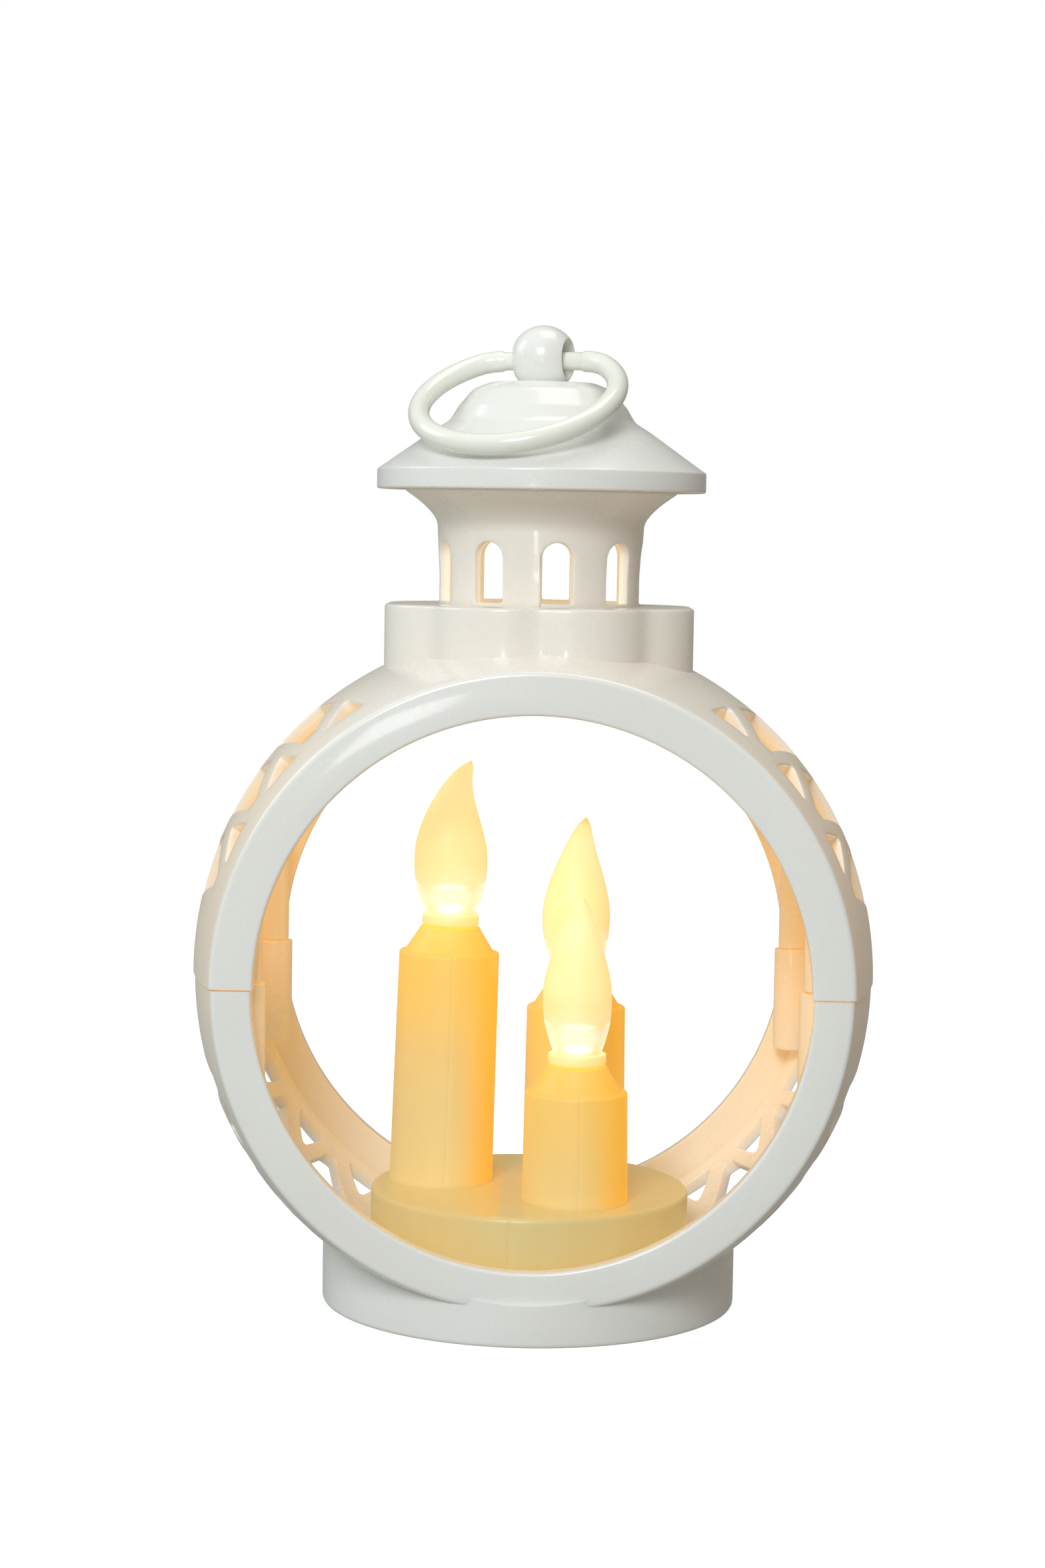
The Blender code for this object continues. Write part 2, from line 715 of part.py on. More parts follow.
def flame(name):
    """One flame: turned, then flattened a little and bent to one side."""
    ledge = candle_ledge(name)
    body = turned("flame_" + name, flame_outline(ledge), 20)
    turn = math.radians(CANDLES[name][4])
    bend = Vector((math.cos(turn), math.sin(turn), 0.0))
    across = Vector((-math.sin(turn), math.cos(turn), 0.0))
    foot, tip = ledge + FLAME_RIM_HEAD, ledge + FLAME_TIP
    for point in body.data.vertices:
        up = (point.co.z - foot) / (tip - foot)
        if up > 0.0 and not is_cavity(point.co, ledge):
            point.co -= across * across.dot(point.co) * (1 - FLAME_FLAT)
            point.co += bend * (FLAME_BEND * up**2.4 - 0.0013 * math.sin(math.pi * min(up * 1.2, 1.0)))
    body.data.transform(candle_place(name))
    return dress(body, "flame_" + name, FLAME)


def is_cavity(point, ledge):
    """Whether this point of a flame belongs to the cavity in it."""
    return math.hypot(point.x, point.y) < FLAME_CAVITY + 1e-5 and point.z < ledge + FLAME_CAVITY_TOP + 1e-5


def led(name):
    """The round lamp in the foot of one flame."""
    ledge = candle_ledge(name)
    foot, head = ledge + LED_FOOT, ledge + LED_HEAD
    shoulder = head - LED_RADIUS
    outline = [(0.0, foot), (LED_RADIUS, foot), (LED_RADIUS, shoulder)]
    outline += [
        (LED_RADIUS * math.cos(a), shoulder + LED_RADIUS * math.sin(a)) for a in (0.45, 0.9, 1.25)
    ]
    body = turned("led_" + name, outline + [(0.0, head)], 16, candle_place(name))
    return dress(body, "led_" + name, LENS)


def led_wire(name, finish, side):
    """One of the two insulated wires from the board up to a lamp."""
    place = candle_place(name)
    top = place @ Vector((side * WIRE_SPREAD, 0.0, candle_ledge(name) + LED_FOOT - 0.0003))
    low = place @ Vector((side * WIRE_SPREAD, 0.0, 0.0020))
    foot = Vector((low.x + side * 0.0006, low.y, BOARD_TOP + 0.0003))
    middle = top.lerp(low, 0.5) + Vector((0.0, 0.0012 * side, 0.0))
    colour = "red" if side > 0 else "black"
    body = tube(f"wire_{name}_{colour}", [foot, low, middle, top], WIRE_RADIUS, 1)
    return dress(body, f"wire_{name}_{colour}", finish)


def screw(name, x, y, head_foot, head_height, head_radius, shaft_radius, length, down=False):
    """A pan-head screw with a cross recess, its head below its shaft unless down is set."""
    way = -1 if down else 1
    base = head_foot
    outline = [
        (0.0, 0.0),
        (head_radius * 0.8, 0.0),
        (head_radius, way * head_height * 0.5),
        (head_radius, way * head_height),
        (shaft_radius, way * head_height),
        (shaft_radius, way * (length - shaft_radius)),
        (0.0, way * length),
    ]
    place = Matrix.Translation((x, y, base))
    body = turned(name, outline, 14, place)
    arm, width, deep = head_radius * 0.55, head_radius * 0.14, head_height * 0.45
    low, high = sorted((base - way * 0.0005, base + way * deep))
    body = cut(body, block("slot", (x - arm, y - width, low), (x + arm, y + width, high)))
    body = cut(body, block("slot", (x - width, y - arm, low), (x + width, y + arm, high)))
    return dress(body, name, STEEL)


def base_plate():
    """The plate under the base, with the battery opening and the screw holes."""
    body = cylinder("base_plate", PLATE_RADIUS, PLATE_FOOT, PLATE_TOP, steps=48)
    body = cut(
        body,
        block(
            "door_opening",
            (-DOOR_LENGTH / 2, -DOOR_WIDTH / 2, -0.001),
            (DOOR_LENGTH / 2, DOOR_WIDTH / 2, 0.004),
        ),
        cylinder("finger_notch", 0.0050, -0.001, 0.004, 0.0, DOOR_WIDTH / 2 - 0.0024, 20),
        block("switch_slot", (-0.0027, SWITCH_Y - 0.0011, -0.001), (0.0027, SWITCH_Y + 0.0011, 0.004)),
    )
    for x, y in TRAY_SCREWS:
        body = join(body, cylinder("pad", 0.0035, PLATE_FOOT + 0.0005, 0.0040, x, y, 20))
        body = cut(
            body,
            cylinder("head_room", 0.0029, -0.001, 0.0026, x, y, 20),
            cylinder("screw_hole", 0.0015, -0.001, 0.006, x, y, 12),
        )
    for side in (-1, 1):
        x = side * HOUSING_SCREW_X
        body = cut(
            body,
            cylinder("head_room", 0.0024, -0.001, 0.0016, x, 0.0, 20),
            cylinder("screw_hole", 0.0012, -0.001, 0.006, x, 0.0, 12),
        )
    return dress(body, "base_plate", WHITE)


def battery_door():
    """The door in the base plate, hinged along its front edge."""
    half_x = DOOR_LENGTH / 2 - DOOR_CLEARANCE
    half_y = DOOR_WIDTH / 2 - DOOR_CLEARANCE
    body = block("battery_door", (-half_x, -half_y, PLATE_FOOT), (half_x, half_y, PLATE_TOP))
    for index in range(4):
        y = 0.0086 - 0.0011 * index
        groove = block("groove", (-0.0040, y, PLATE_FOOT - 0.001), (0.0040, y + 0.0005, PLATE_FOOT + 0.0003))
        body = cut(body, groove)
    return dress(body, "battery_door", WHITE, (0.0, -half_y, PLATE_FOOT))


def battery_box():
    """The open-bottomed box that holds the two cells."""
    half_x, half_y = BOX_LENGTH / 2, BOX_WIDTH / 2
    body = block("battery_box", (-half_x, -half_y, BOX_FOOT), (half_x, half_y, BOX_TOP))
    body = combine(body, cylinder("round", BOX_ROUND, 0.0, 0.03, steps=48), "INTERSECT")
    pocket = block(
        "pocket",
        (BOX_WALL - half_x, BOX_WALL - half_y, -0.001),
        (half_x - BOX_WALL, half_y - BOX_WALL, BOX_TOP - BOX_WALL),
    )
    pocket = combine(pocket, cylinder("round", BOX_ROUND - BOX_WALL, -0.01, 0.03, steps=48), "INTERSECT")
    body = cut(body, pocket)
    for side in (-1, 1):
        x = side * BOARD_SCREW_X
        body = join(body, cylinder("boss", 0.0018, BOX_TOP - 0.0022, BOX_TOP - 0.0004, x, 0.0, 16))
        body = cut(body, cylinder("screw_hole", 0.0011, 0.010, 0.020, x, 0.0, 12))
    return dress(body, "battery_box", BLACK)


def battery(index):
    """One AAA cell, with its raised end to the left or to the right."""
    side = -1 if index == 1 else 1
    nub = 0.0008
    half = CELL_LENGTH / 2
    outline = [
        (0.0, -half),
        (CELL_RADIUS - 0.0006, -half),
        (CELL_RADIUS, 0.0006 - half),
        (CELL_RADIUS, half - nub - 0.0005),
        (CELL_RADIUS - 0.0008, half - nub),
        (0.0019, half - nub),
        (0.0019, half),
        (0.0, half),
    ]
    place = Matrix.Translation((0.0, side * CELL_Y, CELL_Z))
    place = place @ Matrix.Rotation(math.radians(90 * side), 4, "Y")
    body = turned(f"battery_{index}", outline, 24, place)
    return dress(body, f"battery_{index}", CELL)


def contacts():
    """The plates and the springs at the ends of the cells."""
    wall = BOX_LENGTH / 2 - BOX_WALL - 0.0001
    plate, half = 0.0004, 0.0036
    low, high = CELL_Z - half, CELL_Z + half
    link = block("contact_link", (-wall, -CELL_Y - half, low), (plate - wall, CELL_Y + half, high))
    dress(link, "contact_link", STEEL)
    for name, side in (("contact_positive", 1), ("contact_negative", -1)):
        y = side * CELL_Y
        single = block(name, (wall - plate, y - half, low), (wall, y + half, high))
        dress(single, name, STEEL)
    turns, steps, length = 2.25, 10, 0.0007
    for index, side in ((1, -1), (2, 1)):
        start = side * -1 * (wall - plate - 0.0003)
        points = []
        for step in range(int(turns * steps) + 1):
            share = step / (turns * steps)
            angle = 2 * math.pi * step / steps
            reach = 0.0030 - 0.0014 * share
            x = start + side * length * share
            points.append((x, side * CELL_Y + reach * math.cos(angle), CELL_Z + reach * math.sin(angle)))
        spring = tube(f"battery_spring_{index}", points, 0.00022, 0)
        dress(spring, f"battery_spring_{index}", STEEL)


def electronics():
    """The board that makes the candles flicker, and what is fixed to it."""
    board = cylinder("driver_board", BOARD_RADIUS, BOARD_FOOT, BOARD_TOP, steps=40)
    for side in (-1, 1):
        board = cut(board, cylinder("hole", 0.0011, 0.010, 0.020, side * BOARD_SCREW_X, 0.0, 12))
    dress(board, "driver_board", BOARD)
    gap = 0.0003
    height = 0.0011
    dome = [(0.0, 0.0), (0.0030, 0.0), (0.0026, height * 0.6), (0.0015, height * 0.9), (0.0, height)]
    chip = turned("flicker_chip", dome, 20, Matrix.Translation((-0.0005, 0.0, BOARD_TOP + gap)))
    dress(chip, "flicker_chip", EPOXY)
    half, radius = 0.0031, 0.0009
    outline = [
        (0.0, -half),
        (radius, -half),
        (radius * 0.85, -half / 2),
        (radius * 0.85, half / 2),
        (radius, half),
        (0.0, half),
    ]
    place = Matrix.Translation((-0.0030, -0.0100, BOARD_TOP + gap + radius))
    place = place @ Matrix.Rotation(math.radians(90), 4, "Y")
    dress(turned("resistor", outline, 12, place), "resistor", RESISTOR)


def slide_switch():
    """The small on-off switch behind the battery door, and its knob."""
    body = block("switch_body", (-0.0043, SWITCH_Y - 0.0020, 0.0025), (0.0043, SWITCH_Y + 0.0020, 0.0061))
    dress(body, "switch_body", BLACK)
    knob_x = -0.0013
    knob = block(
        "switch_knob",
        (knob_x - 0.0011, SWITCH_Y - 0.0008, 0.0002),
        (knob_x + 0.0011, SWITCH_Y + 0.0008, 0.0022),
    )
    dress(knob, "switch_knob", BLACK, (knob_x, SWITCH_Y, 0.0012))


def fasteners():
    """Every screw that holds the lantern together."""
    for index, (x, y) in enumerate(TRAY_SCREWS, 1):
        screw(f"tray_screw_{index}", x, y, 0.0010, 0.0013, 0.0025, 0.0012, 0.0130)
    for index, side in enumerate((-1, 1), 1):
        x = side * HOUSING_SCREW_X
        screw(f"base_screw_{index}", x, 0.0, 0.0007, 0.0006, 0.0020, 0.0009, 0.0070)
        x = side * BOARD_SCREW_X
        screw(f"board_screw_{index}", x, 0.0, 0.0171, 0.0008, 0.0018, 0.0008, 0.0044, down=True)


def main():
    """Build every piece of the lantern."""
    clear_scene()
    upper_housing()
    lower_housing()
    chimney_vent()
    roof_cap()
    hanging_ring()
    candle_tray()
    for name in CANDLES:
        flame(name)
        led(name)
        led_wire(name, COPPER_RED, 1)
        led_wire(name, COPPER_BLACK, -1)
    electronics()
    slide_switch()
    battery_box()
    battery(1)
    battery(2)
    contacts()
    base_plate()
    battery_door()
    fasteners()


main()
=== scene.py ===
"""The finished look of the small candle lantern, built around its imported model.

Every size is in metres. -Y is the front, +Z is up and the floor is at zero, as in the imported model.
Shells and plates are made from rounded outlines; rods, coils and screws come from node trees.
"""

import enum
import logging
import math
from collections.abc import Callable, Iterable, Sequence
from dataclasses import dataclass, field

import bmesh
import bpy
import numpy as np
from mathutils import Matrix, Vector
from mathutils.geometry import delaunay_2d_cdt


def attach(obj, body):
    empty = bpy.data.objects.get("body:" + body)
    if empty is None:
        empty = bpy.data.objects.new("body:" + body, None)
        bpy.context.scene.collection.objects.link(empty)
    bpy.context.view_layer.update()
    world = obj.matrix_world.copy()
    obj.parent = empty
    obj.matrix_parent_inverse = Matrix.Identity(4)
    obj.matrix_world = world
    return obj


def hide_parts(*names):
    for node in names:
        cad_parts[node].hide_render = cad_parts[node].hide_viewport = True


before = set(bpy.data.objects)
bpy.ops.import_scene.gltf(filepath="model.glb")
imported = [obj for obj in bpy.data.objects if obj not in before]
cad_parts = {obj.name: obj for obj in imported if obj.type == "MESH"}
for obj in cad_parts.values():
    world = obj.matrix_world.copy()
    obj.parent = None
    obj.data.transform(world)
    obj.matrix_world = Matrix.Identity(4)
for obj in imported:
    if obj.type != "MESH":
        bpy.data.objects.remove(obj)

log = logging.getLogger("lantern")

Flat = tuple[float, float]
Triple = tuple[float, float, float]
Colour = Triple
Surface = Callable[[float, float, float], Vector]
Piece = bpy.types.Object
Material = bpy.types.Material

UP = Vector((0.0, 0.0, 1.0))
WELD = 2e-6
NEAR = 1e-5
SHARP = math.radians(38.0)
SIDES = (-1, 1)


class Half(enum.Enum):
    """Which half of the body a shell belongs to."""

    UPPER = 1
    LOWER = -1


class Body(enum.Enum):
    """The rigid bodies that a piece can ride on."""

    HOUSING = "body"
    RING = "ring"
    SWITCH = "switch"
    DOOR = "door"


# ---------------------------------------------------------------- outlines


def spread(low: float, high: float, count: int) -> list[float]:
    """Evenly spaced values.

    Args:
        low: The first value.
        high: The last value.
        count: How many values, both ends included.

    Returns:
        The values in order.
    """
    return [low + (high - low) * step / (count - 1) for step in range(count)]


def arc_round(before: Vector, here: Vector, after: Vector, radius: float, steps: int) -> list[Flat]:
    """Replace one corner with a short curve.

    Args:
        before: The point before the corner.
        here: The corner.
        after: The point after it.
        radius: The wanted fillet, cut down where the sides are short.
        steps: How many pieces the curve has.

    Returns:
        The points that stand for the corner.
    """
    back, on = before - here, after - here
    if radius <= 0.0 or back.length < WELD or on.length < WELD:
        return [tuple(here)]
    half = back.angle(on) / 2
    if half > math.radians(87.0):
        return [tuple(here)]
    reach = min(radius / math.tan(half), 0.45 * back.length, 0.45 * on.length)
    start, end = here + back.normalized() * reach, here + on.normalized() * reach
    found = []
    for step in range(steps + 1):
        t = step / steps
        point = start * (1 - t) ** 2 + here * 2 * t * (1 - t) + end * t**2
        found.append((point.x, point.y))
    return found


def filleted(
    corners: Sequence[tuple[float, ...]], closed: bool, radius: float = 0.0, steps: int = 3
) -> list[Flat]:
    """Round the corners of an outline.

    Args:
        corners: Points, each with its own fillet as a third number where it differs.
        closed: Whether the last point joins the first.
        radius: The fillet of a corner that gives none.
        steps: How many pieces each fillet has.

    Returns:
        The rounded outline.
    """
    places = [Vector(corner[:2]) for corner in corners]
    count = len(places)
    found: list[Flat] = []
    for index, here in enumerate(places):
        own = corners[index][2] if len(corners[index]) > 2 else radius
        if not closed and index in (0, count - 1):
            found.append(tuple(here))
            continue
        found += arc_round(places[index - 1], here, places[(index + 1) % count], own, steps)
    return found


def resampled(outline: Sequence[Flat], spacing: float) -> list[Flat]:
    """Split the long sides of a closed outline.

    Args:
        outline: The corners in order.
        spacing: The longest side that stays whole.

    Returns:
        The outline with its added points.
    """
    found: list[Flat] = []
    for index, start in enumerate(outline):
        end = outline[(index + 1) % len(outline)]
        pieces = max(1, math.ceil(math.dist(start, end) / spacing))
        found += [
            (start[0] + (end[0] - start[0]) * step / pieces, start[1] + (end[1] - start[1]) * step / pieces)
            for step in range(pieces)
        ]
    return found


def area(outline: Sequence[Flat]) -> float:
    """Signed area of a closed outline, positive when it runs anticlockwise."""
    ends = list(outline[1:]) + [outline[0]]
    return sum(a[0] * b[1] - b[0] * a[1] for a, b in zip(outline, ends)) / 2


def grown(outline: Sequence[Flat], amount: float) -> list[Flat]:
    """Move every point of an anticlockwise outline outwards.

    Args:
        outline: The outline.
        amount: How far, or inwards where it is negative.

    Returns:
        The moved outline, with as many points.
    """
    found = []
    count = len(outline)
    for index, here in enumerate(outline):
        before, after = outline[index - 1], outline[(index + 1) % count]
        first = Vector((here[1] - before[1], before[0] - here[0])).normalized()
        second = Vector((after[1] - here[1], here[0] - after[0])).normalized()
        middle = first + second
        size = max(middle.length, 0.6)
        move = middle * (2 * amount / size**2)
        found.append((here[0] + move.x, here[1] + move.y))
    return found


def circle(radius: float, count: int, x: float = 0.0, y: float = 0.0) -> list[Flat]:
    """Anticlockwise points on a circle."""
    turns = [2 * math.pi * step / count for step in range(count)]
    return [(x + radius * math.cos(turn), y + radius * math.sin(turn)) for turn in turns]


def arc(radius: float, start: float, end: float, count: int, y: float = 0.0) -> list[Flat]:
    """Points on an arc whose middle is on the Y axis."""
    return [(radius * math.cos(turn), y + radius * math.sin(turn)) for turn in spread(start, end, count)]


def oblong(low: Flat, high: Flat, radius: float, spacing: float = 0.002) -> list[Flat]:
    """An anticlockwise rectangle with round corners and split sides."""
    corners = [(low[0], low[1]), (high[0], low[1]), (high[0], high[1]), (low[0], high[1])]
    return resampled(filleted(corners, True, radius, 4), spacing)


def inside(points: np.ndarray, outline: Sequence[Flat]) -> np.ndarray:
    """Which points lie inside a closed outline.

    Args:
        points: An array of flat points.
        outline: The outline.

    Returns:
        One truth value for each point.
    """
    found = np.zeros(len(points), bool)
    ends = list(outline[1:]) + [outline[0]]
    for (ax, ay), (bx, by) in zip(outline, ends):
        if ay == by:
            continue
        crosses = (points[:, 1] < ay) != (points[:, 1] < by)
        at = ax + (points[:, 1] - ay) * (bx - ax) / (by - ay)
        found ^= crosses & (points[:, 0] < at)
    return found


# ---------------------------------------------------------------- meshes


@dataclass
class Filling:
    """A flat area with holes, cut into triangles."""

    points: list[Flat]
    triangles: list[tuple[int, int, int]]
    rim: list[int]
    holes: list[list[int]]


def filled(outline: Sequence[Flat], holes: Sequence[Sequence[Flat]], spacing: float) -> Filling:
    """Fill an outline, leaving its holes open.

    Args:
        outline: The edge of the area, already split as finely as it needs.
        holes: The edges of its holes.
        spacing: The distance between the points added inside.

    Returns:
        The triangles and the loops along each edge.
    """
    loops = [list(outline), *[list(hole) for hole in holes]]
    given = [point for loop in loops for point in loop]
    edge_points = np.array(given)
    low, high = edge_points.min(0), edge_points.max(0)
    columns = np.arange(low[0] + spacing, high[0], spacing)
    rows = np.arange(low[1] + spacing, high[1], spacing)
    lattice = np.array([(x, y) for x in columns for y in rows]).reshape(-1, 2)
    if len(lattice):
        keep = inside(lattice, outline)
        for hole in holes:
            keep &= ~inside(lattice, hole)
        lattice = lattice[keep]
    if len(lattice):
        clear = np.array([np.min(np.hypot(*(edge_points - point).T)) > spacing * 0.55 for point in lattice])
        lattice = lattice[clear]
    edges = []
    start = 0
    for loop in loops:
        edges += [(start + step, start + (step + 1) % len(loop)) for step in range(len(loop))]
        start += len(loop)
    scale = 1000.0
    flat = [Vector(point) * scale for point in given + [tuple(point) for point in lattice]]
    placed, _, faces, sources, _, _ = delaunay_2d_cdt(flat, edges, [], 1, 1e-5)
    where = {source: index for index, found in enumerate(sources) for source in found}
    points = [(point.x / scale, point.y / scale) for point in placed]
    middles = np.array([np.mean([points[index] for index in face], axis=0) for face in faces])
    keep = inside(middles, outline)
    for hole in holes:
        keep &= ~inside(middles, hole)
    triangles = [tuple(face) for face, stays in zip(faces, keep) if stays]
    named, start = [], 0
    for loop in loops:
        named.append([where[start + step] for step in range(len(loop))])
        start += len(loop)
    return Filling(points, triangles, named[0], named[1:])


@dataclass
class Opening:
    """A window through a wall, or a recess where it has a depth."""

    outline: list[Flat]
    fillet: float = 0.00025
    depth: float | None = None

    def __post_init__(self) -> None:
        """Make the outline run anticlockwise."""
        if area(self.outline) < 0:
            self.outline.reverse()


def linked(name: str, data: bpy.types.ID) -> Piece:
    """Put a new object with this data in the scene."""
    made = bpy.data.objects.new(name, data)
    bpy.context.scene.collection.objects.link(made)
    return made


class Shell:
    """Points and faces of one piece, gathered before they become a mesh."""

    def __init__(self) -> None:
        """Start with nothing."""
        self.points: list[Vector] = []
        self.faces: list[tuple[int, ...]] = []

    def loop(self, points: Iterable[Vector]) -> list[int]:
        """Add points and return their numbers."""
        start = len(self.points)
        self.points += [Vector(point) for point in points]
        return list(range(start, len(self.points)))

    def bridge(self, first: Sequence[int], second: Sequence[int], closed: bool = True) -> None:
        """Join two rows of as many points with four-sided faces."""
        last = len(first) if closed else len(first) - 1
        for step in range(last):
            on = (step + 1) % len(first)
            self.faces.append((first[step], first[on], second[on], second[step]))

    def joined(self, rows: Sequence[Sequence[int]], closed: bool = True) -> None:
        """Join each row of points to the next one."""
        for first, second in zip(rows, rows[1:]):
            self.bridge(first, second, closed)

    def cap(self, loop: Sequence[int]) -> None:
        """Close a loop with one flat face."""
        self.faces.append(tuple(loop))

    def lathe(
        self,
        outline: Sequence[Flat],
        turns: Sequence[float],
        place: Matrix | None = None,
        closed: bool = False,
        reach: Callable[[float, float, float], float] | None = None,
    ) -> None:
        """Turn an outline of (radius, height) about local Z.

        Args:
            outline: The profile. It starts and ends on the axis unless it is closed.
            turns: The angles of its copies, in radians, over one full turn.
            place: Where the local axes are.
            closed: Whether the last point of the profile joins the first.
            reach: Changes a radius, given the radius, the height and the angle.
        """
        spot = place or Matrix()
        rows = []
        for radius, height in outline:
            row = []
            for turn in turns:
                far = reach(radius, height, turn) if reach else radius
                row.append(spot @ Vector((far * math.cos(turn), far * math.sin(turn), height)))
            rows.append(self.loop(row))
        self.joined(rows)
        if closed:
            self.bridge(rows[-1], rows[0])

    def sheet(self, filling: Filling, surface: Surface, depth: float) -> list[int]:
        """Lay a filling on a surface at one depth, and return the numbers of its points."""
        numbers = self.loop(surface(u, v, depth) for u, v in filling.points)
        self.faces += [tuple(numbers[index] for index in face) for face in filling.triangles]
        return numbers

    def wall_of(
        self, opening: Opening, surface: Surface, thickness: float, outer: Sequence[int], inner: Sequence[int]
    ) -> None:
        """Line a window with its rounded edges, from the outer sheet to the inner one."""
        fillet = opening.fillet
        rows = [list(outer)]
        for turn in (math.pi / 6, math.pi / 3, math.pi / 2):
            ring = grown(opening.outline, fillet * (1 - math.sin(turn)))
            rows.append(self.loop(surface(u, v, fillet * (1 - math.cos(turn))) for u, v in ring))
        for turn in (math.pi / 2, math.pi / 3, math.pi / 6):
            ring = grown(opening.outline, fillet * (1 - math.sin(turn)))
            depth = thickness - fillet * (1 - math.cos(turn))
            rows.append(self.loop(surface(u, v, depth) for u, v in ring))
        rows.append(list(inner))
        self.joined(rows)

    def recess_of(self, opening: Opening, surface: Surface, outer: Sequence[int]) -> None:
        """Sink a recess with a flat floor below the outer sheet."""
        fillet, depth = opening.fillet, opening.depth or 0.0
        rows = [list(outer)]
        for turn in (math.pi / 4, math.pi / 2):
            ring = grown(opening.outline, fillet * (1 - math.sin(turn)))
            rows.append(self.loop(surface(u, v, fillet * (1 - math.cos(turn))) for u, v in ring))
        rows.append(self.loop(surface(u, v, depth) for u, v in opening.outline))
        self.joined(rows)
        self.cap(rows[-1])

    def plate(
        self,
        outline: Sequence[Flat],
        openings: Sequence[Opening],
        surface: Surface,
        thickness: float,
        spacing: float,
        edge: float = 0.0002,
    ) -> None:
        """A closed plate with windows, recesses and rounded edges.

        Args:
            outline: Its anticlockwise edge.
            openings: Its windows and recesses.
            surface: Gives the place of (u, v) at a depth below the outer face.
            thickness: How thick it is.
            spacing: The distance between the points inside each face.
            edge: The fillet along its rim.
        """
        through = [hole for hole in openings if hole.depth is None]
        rim = grown(outline, -edge)
        front = filled(rim, [grown(hole.outline, hole.fillet) for hole in openings], spacing)
        back = filled(rim, [grown(hole.outline, hole.fillet) for hole in through], spacing)
        outer = self.sheet(front, surface, 0.0)
        inner = self.sheet(back, surface, thickness)
        rows = [[outer[index] for index in front.rim]]
        for turn in (math.pi / 4, math.pi / 2):
            ring = grown(outline, -edge * (1 - math.sin(turn)))
            rows.append(self.loop(surface(u, v, edge * (1 - math.cos(turn))) for u, v in ring))
        for turn in (math.pi / 2, math.pi / 4):
            ring = grown(outline, -edge * (1 - math.sin(turn)))
            rows.append(self.loop(surface(u, v, thickness - edge * (1 - math.cos(turn))) for u, v in ring))
        rows.append([inner[index] for index in back.rim])
        self.joined(rows)
        count = 0
        for hole, loop in zip(openings, front.holes):
            numbers = [outer[index] for index in loop]
            if hole.depth is None:
                opposite = [inner[index] for index in back.holes[count]]
                count += 1
                self.wall_of(hole, surface, thickness, numbers, opposite)
            else:
                self.recess_of(hole, surface, numbers)

    def closed(self, name: str) -> Piece:
        """Weld the points, close what is open, turn the faces outwards and make the object."""
        mesh = bpy.data.meshes.new(name)
        mesh.from_pydata([tuple(point) for point in self.points], [], self.faces)
        made = linked(name, mesh)
        polish(made)
        return made


def polish(thing: Piece) -> None:
    """Weld a mesh, turn its faces outwards, and shade it smooth but for its sharp edges."""
    edit = bmesh.new()
    edit.from_mesh(thing.data)
    bmesh.ops.remove_doubles(edit, verts=edit.verts, dist=WELD)
    bmesh.ops.dissolve_degenerate(edit, edges=edit.edges, dist=WELD)
    bmesh.ops.holes_fill(edit, edges=[edge for edge in edit.edges if edge.is_boundary], sides=0)
    bmesh.ops.recalc_face_normals(edit, faces=edit.faces)
    for face in edit.faces:
        face.smooth = True
    for edge in edit.edges:
        edge.smooth = len(edge.link_faces) == 2 and edge.calc_face_angle(0.0) < SHARP
    edit.to_mesh(thing.data)
    edit.free()


def turns(count: int, finer: Sequence[float] = (), width: float = 0.0) -> list[float]:
    """Angles for a lathe, with more of them around chosen ones.

    Args:
        count: How many evenly spaced angles.
        finer: Angles that get extra ones beside them.
        width: How far to each side the extra ones reach.

    Returns:
        The angles in rising order.
    """
    found = [2 * math.pi * step / count for step in range(count)]
    for turn in finer:
        middle = turn % (2 * math.pi)
        found = [value for value in found if abs(value - middle) > width * 1.2]
        found += [middle + width * share for share in (-1.0, -0.66, -0.33, 0.0, 0.33, 0.66, 1.0)]
    return sorted(value % (2 * math.pi) for value in found)


def turned(name: str, outline: Sequence[Flat], count: int, place: Matrix) -> Piece:
    """A piece turned from one profile, with this many sides."""
    shell = Shell()
    shell.lathe(outline, turns(count), place)
    return shell.closed(name)


def box_shell(name: str, low: Sequence[float], high: Sequence[float], fillet: float) -> Piece:
    """A box between two corners with rounded edges.

    Args:
        name: The object's name.
        low: Its lowest corner.
        high: Its highest corner.
        fillet: The radius of its edges.

    Returns:
        The object.
    """
    edit = bmesh.new()
    bmesh.ops.create_cube(edit, size=1.0)
    for point in edit.verts:
        point.co = Vector([low[i] + (high[i] - low[i]) * (point.co[i] + 0.5) for i in range(3)])
    bmesh.ops.bevel(edit, geom=edit.edges[:], offset=fillet, segments=3, profile=0.5, affect="EDGES")
    mesh = bpy.data.meshes.new(name)
    edit.to_mesh(mesh)
    edit.free()
    made = linked(name, mesh)
    polish(made)
    return made


def handed(piece: Piece, body: Body, material: Material, slot: str, *nodes: str) -> Piece:
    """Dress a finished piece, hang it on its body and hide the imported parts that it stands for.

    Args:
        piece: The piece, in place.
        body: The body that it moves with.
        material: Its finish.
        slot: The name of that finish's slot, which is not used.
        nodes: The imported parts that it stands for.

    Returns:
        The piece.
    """
    piece.data.materials.clear()
    piece.data.materials.append(material)
    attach(piece, body.value)
    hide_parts(*nodes)
    log.info("%s: %d faces on %s", piece.name, len(piece.data.polygons), body.value)
    return piece


def fixed(piece: Piece, material: Material, slot: str, *nodes: str) -> Piece:
    """Dress a piece that is fast to the housing, and hang it on the housing's body."""
    return handed(piece, Body.HOUSING, material, slot, *nodes)


# ---------------------------------------------------------------- node trees for rods, coils and screws


